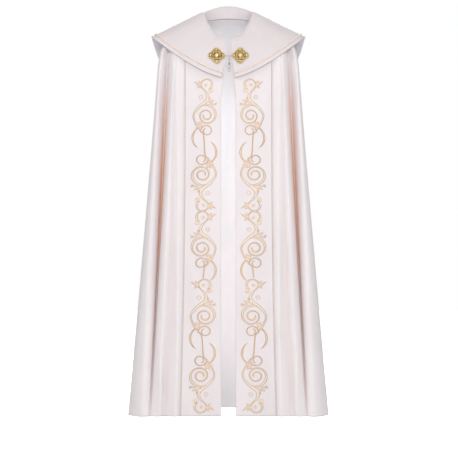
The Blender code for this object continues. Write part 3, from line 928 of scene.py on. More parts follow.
class COPE_OT_piping(bpy.types.Operator):
    """Make the gold piping of the orphreys' seams and of the collar"""
    bl_idname = "cope.piping"
    bl_label = "Piping"

    def execute(self, context):
        sewn = stitches()
        # The seam piping's colour is partly painted shade of the seam's ditch.
        seam_gold_and_shade = gold_cord("seam piping", sewn.piping_gold_and_seam_shade, sewn.piping_dark)
        shade = shaded(sewn.collar_colour, SEWN_SHADE)
        peach_gold = gold_cord("collar piping", sewn.collar_colour, shade)
        for name, side in SIDES.items():
            route = []
            for row in band_grid(side):
                away = (row[-1] - row[-2]).normalized()
                forward = Vector((0, sewn.piping * PIPING_FORWARD, 0))
                route.append(row[-1] + away * sewn.piping * PIPING_OUT - forward)
            made = twisted_cord(f"seam_piping_{name}", route, sewn.piping, sewn.twist, seam_gold_and_shade)
            dress(made, "gold_piping", f"orphrey_piping_{name}")
        rings, ring = cape_rings()
        normals = outward(rings)
        lift = sewn.collar_piping / 2 + COLLAR_CORD_GAP
        route = [point + out * lift for point, out in zip(rings[ring], normals[ring])]
        turn = sewn.twist * COLLAR_CORD_TWIST
        made = twisted_cord("collar_cord", route, sewn.collar_piping, turn, peach_gold)
        dress(made, "gold_piping", "collar_piping")
        return {"FINISHED"}


# ---------------------------------------------------------------------------- embroidery
# Half of a scroll group, in millimetres from the group's middle: across grows towards the
# front opening and up grows upwards. The other half is the same turned half way round.
# Every stroke is an arc, or a spiral where radius_to differs from radius; turn_from and turn_to are
# degrees, and radius_to is the radius at the end of a spiral. shape is how the width changes along the
# stroke.
Stroke = namedtuple("Stroke", "name shape width across up radius turn_from turn_to radius_to tone")
SCROLL = rows_of(Stroke, (
    ("great scroll", "scroll", 9.0, 6, 108, 42, 124, -560, 11, 0.45),
    ("low curl", "curl", 4.6, 8, 52, 23, 195, -250, 11, 0.2),
    ("crescent", "taper", 7.4, 4.4, 27, 46.4, 120, 237, 46.4, 0.7),
    ("crown tip", "disc", 9.0, 21, 215, 3.5, 90, -90, 3.5, 0.6),
))
# The vine of the half group: arcs in order, joined smoothly and ended at the middle.
Bend = namedtuple("Bend", "name across up radius turn_from turn_to")
VINE = rows_of(Bend, (
    ("crown curl", 4, 222, 20, -60, 205),
    ("neck", -13, 177, 24, 50, -48),
    ("great arc", 2, 103, 43, 122, 222),
    ("lower bend", -36, 26, 34, 52, 0),
))
# Petals, leaves, buds and rings. turn is the way a leaf points, in degrees.
Motif = namedtuple("Motif", "name kind across up turn length width tone")
MOTIFS = rows_of(Motif, (
    ("scroll leaf", "leaf", -13, 65, 118, 24, 13, 0.75),
    ("scroll leaf side", "leaf", -16, 67, 74, 19, 10, 0.60),
    ("scroll leaf low", "leaf", -16, 66, 162, 18, 10, 0.70),
    ("neck leaf", "leaf", 6, 156, 42, 19, 11, 0.6),
    ("sprig high", "leaf", 15, 160, 76, 17, 7, 0.75),
    ("sprig middle", "leaf", 18, 157, 24, 18, 8, 0.6),
    ("sprig low", "leaf", 20, 152, -14, 26, 6, 0.3),
    ("sprig tip", "leaf", 34, 149, 30, 13, 5, 0.65),
    ("crown leaf", "leaf", -13, 222, 176, 21, 11, 0.6),
    ("crown leaf high", "leaf", -15, 225, 138, 17, 8, 0.65),
    ("crown leaf low", "leaf", -15, 219, 214, 18, 8, 0.6),
    ("crown point", "leaf", -30, 227, 156, 14, 4, 0.8),
    ("bud", "disc", 21, 200, 0, 18, 17, 0.6),
    ("crown bud", "disc", 1, 221, 0, 13, 12, 0.7),
    ("berry", "ring", -14, 176, 0, 13, 2.8, 0.2),
))
# Where the groups lie down the band. halves is 2 for a whole group and 1 for its upper half.
Group = namedtuple("Group", "name height halves mirror")
GROUPS = rows_of(Group, (
    ("upper", -0.4286, 2, 1),
    ("middle", -0.9140, 1, -1),
    ("lower", -1.1620, 2, 1),
))
SCROLL_SHIFT = (0.0062, 0.0030)     # of the scrolls to the front edge, high up and low down
SCROLL_BREADTH = (1.02, 1.09)       # how much broader than drawn they are, high up and low down
SCROLL_HEIGHTS = (-0.33, -0.52)     # heights between which both change
STROKE_STEP = 0.0016        # between the rows of points along a stroke
ARC_STEP = 12               # degrees between the points of an arc
BEND_STEP = 45              # degrees between the knots of a bend of the vine
VINE_STEPS = 4              # stretches from one knot of the vine to the next
VINE_WIDTH, VINE_TONE = 11.6, 0.28
MM = 1000                   # in a metre
THREAD_LIFT = 0.0001        # of a stroke off the band
STROKE_ROUND = 0.55         # most that a stroke rises, as a share of its half width
SEAM_SIDE = (-0.010, 0.036)         # out from the band's middle, where the darker thread comes in
SEAM_SIDE_LEAST = 0.4       # share of it on a stroke's edge that faces the front opening
OUTLINED = {"disc": 0.15, "even": 0.45, "leaf": 0.7}    # how strong a shape's outline is, of 1
STROKE_PROFILE = ((-1.0, -0.25), (-0.86, 0.55), (-0.45, 0.93), (0.0, 1.0), (0.45, 0.93), (0.86, 0.55),
                  (1.0, -0.25))     # across a stroke and up, as shares of its half width and its rise


def turned(centre, radius, degrees):
    angle = math.radians(degrees)
    return Vector((centre[0] + radius * math.cos(angle), centre[1] + radius * math.sin(angle)))


def arc_points(across, up, radius, turn_from, turn_to, radius_to):
    """Points round an arc, or a spiral whose radius shrinks by the same share each turn."""
    count = max(6, int(abs(turn_to - turn_from) / ARC_STEP))
    shares = [i / count for i in range(count + 1)]
    return [turned((across, up), radius * (radius_to / radius) ** t, blend(turn_from, turn_to, t))
            for t in shares]


def vine_points():
    """The vine from its crown curl down to the middle of the group."""
    knots = []
    for bend in VINE:
        count = max(2, round(abs(bend.turn_to - bend.turn_from) / BEND_STEP))
        turns = [blend(bend.turn_from, bend.turn_to, i / count) for i in range(count + 1)]
        knots += [turned((bend.across, bend.up), bend.radius, turn) for turn in turns]
    knots.append(Vector((0, 0)))
    return curve_through(knots, [VINE_STEPS] * (len(knots) - 1))


# The way along a stroke, from 0 to 1, and the share of its width that it has there.
BREADTHS = {
    "vine": ((0.0, 0.30), (0.04, 0.66), (0.16, 0.42), (0.30, 0.46), (0.40, 0.92), (0.48, 1.0),
             (0.56, 0.80), (0.66, 0.52), (0.78, 0.52), (0.86, 0.38), (1.0, 0.36)),
    "scroll": ((0.0, 0.46), (0.12, 0.86), (0.22, 1.0), (0.36, 0.66), (0.55, 0.52), (0.85, 0.56),
               (0.95, 0.72), (1.0, 0.30)),
    "curl": ((0.0, 0.80), (0.25, 0.95), (0.70, 0.80), (0.94, 1.0), (1.0, 0.40)),
}


def breadth(shape, t):
    """The share of its width that a stroke has at t, from 0 at its start to 1 at its end."""
    if shape in BREADTHS:
        for (start, a), (end, b) in zip(BREADTHS[shape], BREADTHS[shape][1:]):
            if t <= end:
                return blend(a, b, smooth_step(start, end, t))
    if shape == "even":
        return 1.0
    if shape == "taper":
        return max(0.12, math.sin(math.pi * t) ** 0.8)
    if shape == "leaf":
        return max(0.05, math.sin(math.pi * t ** 0.72) ** 0.85)
    return max(0.08, math.sqrt(max(0.0, 1 - (2 * t - 1) ** 2)))


def scroll_strokes():
    """Each stroke of the half group: its points, shape, width and tone."""
    strokes = [(vine_points(), "vine", VINE_WIDTH, VINE_TONE)]
    for row in SCROLL:
        strokes.append((arc_points(*row[3:9]), row.shape, row.width, row.tone))
    for row in MOTIFS:
        if row.kind == "ring":
            points = arc_points(row.across, row.up, row.length / 2, 0, 360, row.length / 2)
            strokes.append((points, "even", row.width, row.tone))
            continue
        start = Vector((row.across, row.up))
        if row.kind == "disc":
            start = turned(start, -row.length / 2, row.turn)
        end = turned(start, row.length, row.turn)
        strokes.append(([start, start.lerp(end, 0.5), end], row.kind, row.width, row.tone))
    return strokes


class Embroiderer:
    """Lays stitched strokes on the face of one orphrey and gathers them in one mesh."""

    def __init__(self, side):
        self.side = side
        grid = band_grid(side)
        faces = grid_faces(len(grid), len(grid[0]))
        self.tree = BVHTree.FromPolygons([point for row in grid for point in row], faces)
        self.middles = [(row[0].z, (abs(row[0].x) + abs(row[-1].x)) / 2) for row in grid]
        self.points, self.faces, self.uvs = [], [], []
        self.marks = {"half_width": [], "tone": [], "outer": [], "outlined": []}

    def middle(self, height):
        """How far from the garment's middle the band's middle lies at a height."""
        for (above, a), (below, b) in zip(self.middles, self.middles[1:]):
            if below <= height <= above:
                return blend(a, b, (above - height) / (above - below))
        return self.middles[-1][1]

    def lay(self, across, height):
        """The point of the band's face at a place on it, and the direction out of it."""
        high_up, low_down = SCROLL_HEIGHTS
        low = smooth_step(0.0, 1.0, (high_up - height) / (high_up - low_down))
        inwards = blend(*SCROLL_SHIFT, low) + across * blend(*SCROLL_BREADTH, low)
        x = self.side * (self.middle(height) - inwards)
        hit, normal, _, _ = self.tree.ray_cast(Vector((x, -1, height)), Vector((0, 1, 0)))
        return hit, normal if normal.y < 0 else -normal

    def stroke(self, route, shape, width, rise, tone):
        """One stroke along a route of (across, height) pairs, in metres."""
        flat = resample([Vector((a, h, 0)) for a, h in route], STROKE_STEP)
        first = len(self.points)
        sides = len(STROKE_PROFILE)
        walked = 0.0
        for i, here in enumerate(flat):
            before, after = flat[max(i - 1, 0)], flat[min(i + 1, len(flat) - 1)]
            sideways = (after - before).normalized().cross(Vector((0, 0, 1)))
            half = width / 2 * breadth(shape, i / (len(flat) - 1))
            walked += (here - before).length
            centre, out = self.lay(here.x, here.y)
            top = min(rise, half * STROKE_ROUND)
            for across, up in STROKE_PROFILE:
                on_band, _ = self.lay(here.x + sideways.x * half * across,
                                      here.y + sideways.y * half * across)
                self.points.append(on_band + out * (top * up + THREAD_LIFT))
                self.uvs.append((walked, across))
                towards_seam = -sideways.x * across
                far = smooth_step(*SEAM_SIDE, -here.x + half * towards_seam)
                outer = far * blend(SEAM_SIDE_LEAST, 1.0, max(0.0, towards_seam))
                outlined = OUTLINED.get(shape, 1.0)
                for mark, value in zip(self.marks.values(), (half, tone, outer, outlined)):
                    mark.append(value)
        for i in range(len(flat) - 1):
            for k in range(sides):
                j = (k + 1) % sides
                a, b = first + i * sides, first + (i + 1) * sides
                self.faces.append((a + k, a + j, b + j, b + k))
        self.faces.append(tuple(range(first, first + sides)))
        self.faces.append(tuple(range(len(self.points) - sides, len(self.points)))[::-1])


class COPE_OT_embroidery(bpy.types.Operator):
    """Stitch the scrolls of vine, leaves and buds down the orphreys"""
    bl_idname = "cope.embroidery"
    bl_label = "Embroidery"

    def execute(self, context):
        sewn = stitches()
        gold = thread("embroidery thread", sewn)
        for name, side in SIDES.items():
            work = Embroiderer(side)
            for group in GROUPS:
                for half in range(group.halves):
                    turn = 1 - 2 * half
                    for points, shape, width, tone in scroll_strokes():
                        route = [(turn * group.mirror * point.x / MM, group.height + turn * point.y / MM)
                                 for point in points]
                        work.stroke(route, shape, width / MM, sewn.rise, tone)
            made = object_from(f"embroidery_{name}", work.points, work.faces, work.uvs, **work.marks)
            outside(made)
            made.data.materials.append(gold)
            dress(made, "gold_piping")
        return {"FINISHED"}


def outside(made):
    """Turns every face of a closed mesh outwards."""
    building = bmesh.new()
    building.from_mesh(made.data)
    bmesh.ops.recalc_face_normals(building, faces=building.faces)
    building.to_mesh(made.data)
    building.free()


HEM_STITCH_UP = 0.017       # from the hem up to its stitches
STITCH_LENGTH = 0.0032
STITCH_GAP = 0.0020
STITCH_THICKNESS = 0.0007
STITCH_TAPER = (0.3, 0.5, 0.3)      # radius along a stitch, as shares of its thickness
STITCH_LIFT = 0.2           # of its middle off the cloth, as a share of its thickness
STITCH_SIDES = 5
STITCH_SPOTS = 4            # points from one stitch to the next, the last of them in the gap


class COPE_OT_hem(bpy.types.Operator):
    """Sew the line of stitches above the mantle's hem"""
    bl_idname = "cope.hem"
    bl_label = "Hem stitching"

    def execute(self, context):
        look, sewn = cloth(), stitches()
        rings, seam = mantle_rings()
        normals = outward(rings)
        line = []
        for c in range(seam + 1, len(rings[0]) - seam - 1):
            lower, upper, above = (rings[row][c] for row in (-1, -2, -3))
            left = HEM_STITCH_UP
            if left > (upper - lower).length:
                left -= (upper - lower).length
                lower, upper = upper, above
            on_hem = lower.lerp(upper, left / (upper - lower).length)
            line.append(on_hem + normals[-1][c] * STITCH_THICKNESS * STITCH_LIFT)
        spots = resample(line, (STITCH_LENGTH + STITCH_GAP) / STITCH_SPOTS)
        radii = [STITCH_THICKNESS * share for share in STITCH_TAPER]
        points, faces = [], []
        for i in range(0, len(spots) - len(radii), STITCH_SPOTS):
            verts, sides = tube(spots[i:i + len(radii)], radii, STITCH_SIDES)
            faces += [tuple(index + len(points) for index in face) for face in sides]
            points += verts
        count = len(points)
        made = object_from("hem_stitching", points, faces, [(0, 0)] * count, hollow=[0.0] * count)
        outside(made)
        made.data.materials.append(satin("hem thread", shaded(look.blush, SEWN_SHADE), look))
        dress(made, "satin")
        return {"FINISHED"}


# ------------------------------------------------------------------ clasp and chain
PLATE_HALF = 0.032          # from the middle of a plate to its points
PLATE_SHEET = 0.0012        # thickness of its sheet, and how far that ends inside the rim
PLATE_EDGE = 0.0022         # width of the flat edge round its sunk ground
PLATE_SLOPE = 0.0016        # width of the slope down to the ground
PLATE_SUNK = 0.0005         # depth of the ground
PLATE_BANDS = (0.005, 0.005, 0.005, 0.005)      # bands of faces in from the slope
PLATE_RIMS = ((0.0011, 0.0011, 0.0014), (0.0030, 0.0006, 0.0020))   # in from the points, wire, height
LOBE_DEPTH = 0.11           # share of the radius by which the lobes stand out
PLATE_OUT = 0.0435          # from the middle line to the middle of a plate
PLATE_TIP = (0.1246, -0.0978)       # how far forward, and how high, a plate's inner point is
CLASP_RING = Vector((0.0033, -0.1255, -0.1005))
CLASP_RING_RADIUS = 0.0045  # this and the next radii run to the middle of the wire
HOOK_RADIUS = 0.0023
BEAD_LOOP = 0.0020
BEAD_RADIUS = 0.0024
ROUND_UNTIL = 0.9           # share of the outline's radius inside which a point follows its own
SOLDERED = 0.86             # thickness of a ring from front to back, of its wire's
GRAIN_PRESSED = 0.8         # the same for a bead
WIRE_ENDS = (1.25, 0.8)     # thickness of a flattened wire at its start and its end
RING_MEET = (0.10, 0.22)    # where a ring's ends meet: how far round, and how much it is drawn in
GOLD_HEIGHTS = (0.0010, 0.0028)     # between which the plates go from the dark of tarnish and painted shade to polished
WIRE_HEIGHTS = (-0.001, 0.001)      # the same for wires, which are polished all over
WIRE_TURNS = {"front": (math.radians(90), 0, 0), "side": (0, math.radians(90), 0)}

# One row for each piece of the chain: width and down are its half sizes to its wire.
ChainPiece = namedtuple("ChainPiece", "name across width down")
CHAIN = rows_of(ChainPiece, (
    ("chain_link_upper", "side", 0.0026, 0.0031),
    ("chain_ring_upper", "front", 0.0037, 0.0037),
    ("chain_link_middle", "side", 0.0026, 0.0060),
    ("chain_bead", "bead", BEAD_LOOP, BEAD_LOOP + BEAD_RADIUS),
    ("chain_ring_middle", "front", 0.0056, 0.0056),
    ("chain_link_lower", "side", 0.0026, 0.0026),
    ("chain_ring_end", "front", 0.0056, 0.0056),
))

# Round wires laid on a plate: how many, the way to the first in degrees, how far out they
# lie, their radius and half thickness, and how high they stand over the plate's back.
PlateWire = namedtuple("PlateWire", "name count turn out radius wire height")
PLATE_WIRES = rows_of(PlateWire, (
    ("inner ring", 1, 0, 0.0, 0.0150, 0.00085, 0.0030),
    ("boss ring", 1, 0, 0.0, 0.0098, 0.00065, 0.0026),
    ("boss lip", 1, 0, 0.0, 0.0052, 0.00110, 0.0049),
    ("bead seat", 4, 0, 0.0230, 0.0034, 0.00070, 0.0026),
    ("left rosette", 4, 17, 0.0236, 0.0024, 0.00055, 0.0022),
    ("right rosette", 4, -17, 0.0236, 0.0024, 0.00055, 0.0022),
    ("web rosette", 4, 45, 0.0186, 0.0019, 0.00055, 0.0023),
))
# Beads soldered on a plate.
PlateBead = namedtuple("PlateBead", "name count turn out radius height")
PLATE_BEADS = rows_of(PlateBead, (
    ("boss bead", 1, 0, 0.0, 0.0030, 0.0046),
    ("lobe bead", 4, 0, 0.0230, 0.0027, 0.0032),
    ("left grain", 4, 17, 0.0236, 0.0013, 0.0024),
    ("right grain", 4, -17, 0.0236, 0.0013, 0.0024),
    ("web grain", 4, 45, 0.0186, 0.0011, 0.0025),
    ("ring grain", 24, 7.5, 0.0124, 0.0009, 0.0026),
    ("rim grain", 44, 4, 0.0281, 0.0008, 0.0026),
))


def clasp():
    return bpy.context.scene.cope_clasp


def lobe_shift(angle, radius):
    """How far the lobed outline lies from a circle of a radius, at an angle round it."""
    return radius * LOBE_DEPTH * (math.cos(4 * angle) - 1)


def lobed(made, radius):
    """Moves a round piece in the front plane onto the lobed outline of that radius."""
    for vertex in made.data.vertices:
        angle = math.atan2(vertex.co.z, vertex.co.x)
        out = math.hypot(vertex.co.x, vertex.co.z)
        bent = out if out < radius * ROUND_UNTIL else radius
        share = (out + lobe_shift(angle, bent)) / max(out, 1e-9)
        vertex.co.x *= share
        vertex.co.z *= share


def flat_ring(radius, wire, middle, turns, sides=8):
    """A ring of wire that faces the front, a little pressed where it was soldered."""
    return start_from("torus", SOLDERED, major_segments=turns, minor_segments=sides, major_radius=radius,
                      minor_radius=wire, location=middle, rotation=WIRE_TURNS["front"])


def wire_along(points, radius, flat_ends=False):
    """A wire bent along points, as one closed mesh."""
    bpy.ops.object.select_all(action="DESELECT")
    bpy.ops.curve.primitive_nurbs_path_add(location=(0, 0, 0))
    made = bpy.context.object
    made.data.splines.clear()
    spline = made.data.splines.new("NURBS")
    spline.points.add(len(points) - 1)
    for knot, point in zip(spline.points, points):
        knot.co = (*point, 1)
    if flat_ends:
        spline.points[0].radius, spline.points[-1].radius = WIRE_ENDS
    spline.order_u = 4
    spline.use_endpoint_u = True
    spline.resolution_u = 3
    made.data.dimensions = "3D"
    made.data.bevel_depth = radius
    made.data.bevel_resolution = 3
    made.data.use_fill_caps = True
    bpy.ops.object.convert(target="MESH")
    return made


def round_it(piece, count):
    """The piece and its copies, turned evenly round the plate's middle."""
    pieces = [piece]
    for k in range(1, count):
        twin = piece.copy()
        twin.data = piece.data.copy()
        bpy.context.scene.collection.objects.link(twin)
        twin.matrix_world = Matrix.Rotation(2 * math.pi * k / count, 4, "Y") @ piece.matrix_world
        pieces.append(twin)
    return pieces


def spot(out, degrees, height):
    """A place on a plate, out from its middle in a direction, at a height over its back."""
    angle = math.radians(degrees)
    return Vector((out * math.cos(angle), -height, out * math.sin(angle)))


SCROLL_OUT = 0.0205         # from the plate's middle to a wire scroll's middle
SCROLL_RADIUS = 0.0052
SCROLL_TURN = 200           # degrees from the scroll's middle to each end
SCROLL_CURL = 0.62          # share of the radius that it loses towards its ends
SCROLL_CURL_FROM = 0.45     # share of the way to an end at which it starts to curl in
SCROLL_STEPS = 24
SCROLL_WIRE, SCROLL_WIRE_HEIGHT = 0.0007, 0.0022
# The sprays beside each lobe: out from the plate's middle, degrees to the side, and height.
SPRAY = ((0.0150, 9, 0.0026), (0.0185, 12, 0.0027), (0.0210, 24, 0.0024), (0.0262, 27, 0.0020))
SPRAY_WIRE = 0.00055
BOSS = {"radius1": 0.0086, "radius2": 0.0056, "depth": 0.0042}
BOSS_HEIGHT = 0.0027


def scroll_points(turn):
    """A C-shaped scroll that curls in at both ends, across a corner of the plate."""
    centre = spot(SCROLL_OUT, turn, SCROLL_WIRE_HEIGHT)
    points = []
    for i in range(SCROLL_STEPS + 1):
        way = 2 * (i / SCROLL_STEPS) - 1
        radius = SCROLL_RADIUS * (1 - SCROLL_CURL * smooth_step(SCROLL_CURL_FROM, 1.0, abs(way)))
        points.append(centre + spot(radius, turn + 180 + way * SCROLL_TURN, 0))
    return points


def plate_sheet():
    """The lobed sheet of a plate, its ground sunk inside a flat edge."""
    radius = PLATE_HALF - PLATE_SHEET
    sheet = start_from("cylinder", vertices=96, radius=radius, depth=PLATE_SHEET,
                       location=(0, -PLATE_SHEET / 2, 0), rotation=WIRE_TURNS["front"])
    front = min(polygon.center.y for polygon in sheet.data.polygons)
    bpy.context.tool_settings.mesh_select_mode = (False, False, True)
    for polygon in sheet.data.polygons:
        polygon.select = abs(polygon.center.y - front) < 1e-5
    bpy.ops.object.mode_set(mode="EDIT")
    bpy.ops.mesh.inset(thickness=PLATE_EDGE)
    bpy.ops.mesh.inset(thickness=PLATE_SLOPE)
    bpy.ops.transform.translate(value=(0, PLATE_SUNK, 0))
    for band in PLATE_BANDS:
        bpy.ops.mesh.inset(thickness=band)
    bpy.ops.object.mode_set(mode="OBJECT")
    lobed(sheet, radius)
    return sheet


def plate_pieces():
    """A plate round the origin, facing the front, with its wires, beads and scrolls."""
    pieces = [plate_sheet()]
    for inside, wire, height in PLATE_RIMS:
        radius = PLATE_HALF - inside
        rim = flat_ring(radius, wire, (0, -height, 0), 96)
        lobed(rim, radius)
        pieces.append(rim)
    for row in PLATE_WIRES:
        turns, sides = (28, 8) if row.count == 1 else (16, 6)
        ring = flat_ring(row.radius, row.wire, spot(row.out, row.turn, row.height), turns, sides)
        pieces += round_it(ring, row.count)
    for row in PLATE_BEADS:
        out = row.out + (lobe_shift(math.radians(row.turn), row.out) if row.count < 5 else 0)
        grain = start_from("ico_sphere", GRAIN_PRESSED, subdivisions=2, radius=row.radius,
                           location=spot(out, row.turn, row.height))
        grains = round_it(grain, row.count)
        if row.name == "rim grain":
            for piece in grains:
                piece.data.transform(piece.matrix_world)
                piece.matrix_world = Matrix()
                lobed(piece, 1.0)
        pieces += grains
    pieces.append(start_from("cone", vertices=32, location=(0, -BOSS_HEIGHT, 0),
                             rotation=WIRE_TURNS["front"], **BOSS))
    pieces += [wire_along(scroll_points(turn), SCROLL_WIRE) for turn in (45, 135, 225, 315)]
    for turn in range(0, 360, 90):
        for side in (-1, 1):
            stem = [spot(out, turn + side * aside, height) for out, aside, height in SPRAY]
            pieces.append(wire_along(stem, SPRAY_WIRE))
    return pieces


def plate_frame(node):
    """Where a plate of the frame lies: a matrix from a plate that faces the front."""
    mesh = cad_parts[node].data
    areas = {}
    for polygon in mesh.polygons:
        key = tuple(round(value, 3) for value in polygon.normal)
        areas[key] = areas.get(key, 0) + polygon.area
    forward = -Vector(max(areas, key=areas.get)).normalized()
    nearest = min(vertex.co.dot(forward) for vertex in mesh.vertices)
    rim = [vertex.co for vertex in mesh.vertices if vertex.co.dot(forward) < nearest + 0.0002]
    middle = sum(rim, Vector()) / len(rim)
    farthest = max((point - middle).length for point in rim)
    points = [point - middle for point in rim if (point - middle).length > farthest * 0.98]
    right = max(points, key=lambda way: way.x).normalized()
    up = forward.cross(right)
    return Matrix.Translation(middle) @ Matrix((right, -forward, up)).transposed().to_4x4()


POLISHED = 0.004            # height that the worn finish takes as polished all over


def metal_piece(name, made, finish, slot, node, body="root", heights=None):
    """Finishes a metal piece. heights are of its points over its back: its high points are polished and
    its low ones dark, with tarnish and painted shade.
    """
    made.name = made.data.name = name
    height = made.data.attributes.new("height", "FLOAT", "POINT")
    height.data.foreach_set("value", heights or [POLISHED] * len(made.data.vertices))
    made.data.materials.clear()
    made.data.materials.append(finish)
    made.data.shade_smooth()
    return dress(made, slot, node, body=body)


class COPE_OT_clasp(bpy.types.Operator):
    """Make the two filigree plates, the hook and eye and the ring that joins them"""
    bl_idname = "cope.clasp"
    bl_label = "Clasp"

    def execute(self, context):
        look = clasp()
        gold = old_metal("old gold", look.gold, look.patina_and_shade, *GOLD_HEIGHTS)
        plate = join("clasp_plate", plate_pieces())
        heights = [-vertex.co.y for vertex in plate.data.vertices]
        for name in SIDES:
            node = f"clasp_plate_{name}"
            made = plate.copy()
            made.data = plate.data.copy()
            context.scene.collection.objects.link(made)
            made.data.transform(plate_frame(node))
            metal_piece(f"filigree_plate_{name}", made, gold, "clasp_gold", node, heights=heights)
        bpy.data.objects.remove(plate, do_unlink=True)
        steel = old_metal("worn nickel", look.steel, look.dark, *WIRE_HEIGHTS)
        forward, high = PLATE_TIP
        root_out = PLATE_OUT - PLATE_HALF - look.wire / 2 - SEAM_GAP
        for name, side in (("hook", -1), ("eye", 1)):
            wire_x = CLASP_RING.x + side * CLASP_RING_RADIUS
            points = [Vector((side * root_out, -forward, high))]
            for degrees in range(0, 241, 30):
                angle = math.radians(degrees)
                points.append(Vector((wire_x - side * HOOK_RADIUS * math.sin(angle),
                                      CLASP_RING.y - HOOK_RADIUS * math.cos(angle), CLASP_RING.z)))
            made = wire_along(points, look.wire / 2, True)
            metal_piece(f"{name}_wire", made, steel, "clasp_wire", f"clasp_{name}")
        ring = wire_ring(CLASP_RING, "front", CLASP_RING_RADIUS, CLASP_RING_RADIUS)
        metal_piece("joining_ring", ring, steel, "clasp_wire", "clasp_ring")
        return {"FINISHED"}


def wire_ring(middle, across, width, down):
    """A ring or link of wire, drawn in a little where its ends meet."""
    made = start_from("torus", major_segments=36, minor_segments=12, major_radius=width,
                      minor_radius=clasp().wire / 2, location=(0, 0, 0), rotation=WIRE_TURNS[across])
    for vertex in made.data.vertices:
        side = vertex.co.x if across == "front" else vertex.co.y
        meeting = ripple(math.atan2(vertex.co.z, side), RING_MEET[0])
        core = vertex.co.normalized() * width
        vertex.co = vertex.co.lerp(core, RING_MEET[1] * meeting)
        vertex.co.z += math.copysign(down - width, vertex.co.z) if down != width else 0
    made.data.transform(Matrix.Translation(middle))
    return made


class COPE_OT_chain(bpy.types.Operator):
    """Make the short chain of rings, links and a dark bead below the clasp"""
    bl_idname = "cope.chain"
    bl_label = "Chain"

    def execute(self, context):
        look = clasp()
        steel = old_metal("chain nickel", look.steel, look.dark, *WIRE_HEIGHTS)
        dark = old_metal("dark nickel", look.dark, shaded(look.dark, 0.5), *WIRE_HEIGHTS)
        bottom = CLASP_RING.z - CLASP_RING_RADIUS
        for row in CHAIN:
            top = bottom + look.wire + SEAM_GAP
            middle = Vector((CLASP_RING.x, CLASP_RING.y, top - row.down))
            if row.across == "bead":
                middle.z = top - BEAD_LOOP
                step = BEAD_LOOP + BEAD_RADIUS - look.wire / 2
                ball = start_from("uv_sphere", segments=24, ring_count=16, radius=BEAD_RADIUS,
                                  location=middle - Vector((0, 0, step)))
                upper = wire_ring(middle, "front", BEAD_LOOP, BEAD_LOOP)
                lower = wire_ring(middle - Vector((0, 0, 2 * step)), "side", BEAD_LOOP, BEAD_LOOP)
                made = join("bead", [ball, upper, lower])
                bottom = middle.z - 2 * step - BEAD_LOOP
                metal_piece("dark_bead", made, dark, "dark_bead", row.name, "chain")
                continue
            made = wire_ring(middle, row.across, row.width, row.down)
            metal_piece(f"{row.name}_wire", made, steel, "clasp_wire", row.name, "chain")
            bottom = middle.z - row.down
        return {"FINISHED"}


# ---------------------------------------------------------------------------- stage
ROOM_TINT = (1.0, 0.955, 0.968, 1)
CAMERA_SIDE = 0.0022        # of the camera from the middle line
SENSOR = 36.0
FLOOR_SIZE = 24
FLOOR_SPECKS = 0.985        # share of the floor's brightness left in its specks


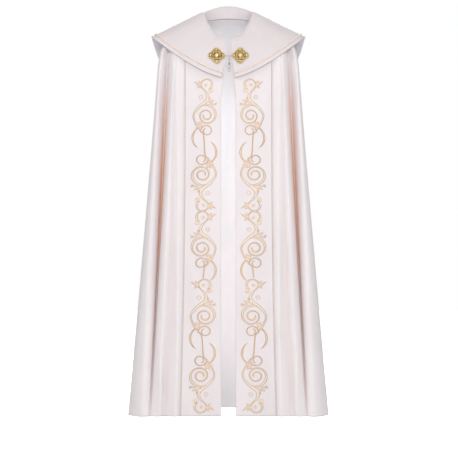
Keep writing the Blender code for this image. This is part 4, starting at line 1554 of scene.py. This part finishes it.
class COPE_OT_stage(bpy.types.Operator):
    """Set the pale floor, the soft light and the camera"""
    bl_idname = "cope.stage"
    bl_label = "Stage"

    def execute(self, context):
        look = context.scene.cope_stage
        paint = Paint("pale floor")
        speck = paint.noise(paint.place(), 30.0, 3.0)
        speckled = paint.mix(look.floor, shaded(look.floor, FLOOR_SPECKS), speck.between(0.4, 0.6))
        paint.set(Base_Color=speckled, Roughness=0.9, Emission_Color=(1, 1, 1),
                  Emission_Strength=paint.node("ShaderNodeLightPath") * look.floor_glow)
        floor = start_from("plane", size=FLOOR_SIZE, location=(0, 0, look.floor_height))
        floor.name = "floor"
        floor.data.materials.append(paint.material)

        world = bpy.data.worlds.new("studio")
        world.use_nodes = True
        tree = world.node_tree
        soft = tree.nodes["Background"]
        bright = tree.nodes.new("ShaderNodeBackground")
        for glow, tint, power in ((soft, ROOM_TINT, look.room_light), (bright, (1.0, 1.0, 1.0, 1), 1.0)):
            glow.inputs["Color"].default_value = tint
            glow.inputs["Strength"].default_value = power
        ray = tree.nodes.new("ShaderNodeLightPath")
        mix = tree.nodes.new("ShaderNodeMixShader")
        tree.links.new(ray.outputs["Is Camera Ray"], mix.inputs[0])
        tree.links.new(soft.outputs[0], mix.inputs[1])
        tree.links.new(bright.outputs[0], mix.inputs[2])
        tree.links.new(mix.outputs[0], tree.nodes["World Output"].inputs["Surface"])
        context.scene.world = world

        middle = Vector((0, 0, look.camera_height))
        chest = Vector((0, 0, look.camera_height / 2))
        behind = Vector((0, 1, look.camera_height))
        for name, where, aim, size, energy in (
                ("front softbox", (-0.05, -5.0, 1.1), middle, (2.4, 2.0), look.front_light),
                ("left softbox", (-3.0, -1.7, 2.4), middle, (1.6, 1.6), look.side_light),
                ("right softbox", (3.0, -1.7, 2.4), middle, (1.6, 1.6), look.side_light),
                ("low softbox", (0.0, -3.4, -1.4), chest, (3.2, 1.0), look.low_light),
                ("strip in the hollow", (0.0, -0.03, look.camera_height), behind, (0.1, 1.2),
                 look.inner_light),
                ("back softbox", (0.3, 5.2, 1.0), middle, (2.4, 2.0), look.back_light)):
            light = bpy.data.lights.new(name, "AREA")
            light.shape = "RECTANGLE"
            light.size, light.size_y = size
            light.energy = energy
            lamp = bpy.data.objects.new(name, light)
            lamp.location = where
            lamp.rotation_euler = (aim - lamp.location).to_track_quat("-Z", "Y").to_euler()
            lamp.visible_camera = False
            context.scene.collection.objects.link(lamp)

        camera = bpy.data.objects.new("camera", bpy.data.cameras.new("camera"))
        camera.location = (CAMERA_SIDE, look.picture_plane - look.camera_distance, look.camera_height)
        camera.rotation_euler = (math.radians(90), 0, 0)
        camera.data.sensor_width = SENSOR
        camera.data.lens = SENSOR * look.camera_distance / look.picture_width
        camera.data.dof.use_dof = False
        context.scene.collection.objects.link(camera)
        context.scene.camera = camera
        context.scene.view_settings.view_transform = "Standard"
        return {"FINISHED"}


STEPS = (
    COPE_OT_mantle, COPE_OT_orphreys, COPE_OT_collar, COPE_OT_piping, COPE_OT_embroidery,
    COPE_OT_hem, COPE_OT_clasp, COPE_OT_chain, COPE_OT_stage,
)
SETTINGS = {
    "cope_cloth": ClothSettings,
    "cope_stitches": StitchSettings,
    "cope_clasp": ClaspSettings,
    "cope_stage": StageSettings,
}


class COPE_PT_panel(bpy.types.Panel):
    """The steps that dress the cope"""
    bl_idname = "COPE_PT_panel"
    bl_label = "Cope"
    bl_space_type = "VIEW_3D"
    bl_region_type = "UI"
    bl_category = "Cope"

    def draw(self, context):
        for step in STEPS:
            self.layout.operator(step.bl_idname)


def register():
    for name, settings in SETTINGS.items():
        bpy.utils.register_class(settings)
        setattr(bpy.types.Scene, name, PointerProperty(type=settings))
    for step in STEPS:
        bpy.utils.register_class(step)
    bpy.utils.register_class(COPE_PT_panel)


def unregister():
    bpy.utils.unregister_class(COPE_PT_panel)
    for step in reversed(STEPS):
        bpy.utils.unregister_class(step)
    for name, settings in SETTINGS.items():
        delattr(bpy.types.Scene, name)
        bpy.utils.unregister_class(settings)


def main():
    register()
    for step in STEPS:
        group, action = step.bl_idname.split(".")
        getattr(getattr(bpy.ops, group), action)()
    bpy.context.view_layer.update()


if __name__ == "__main__":
    main()
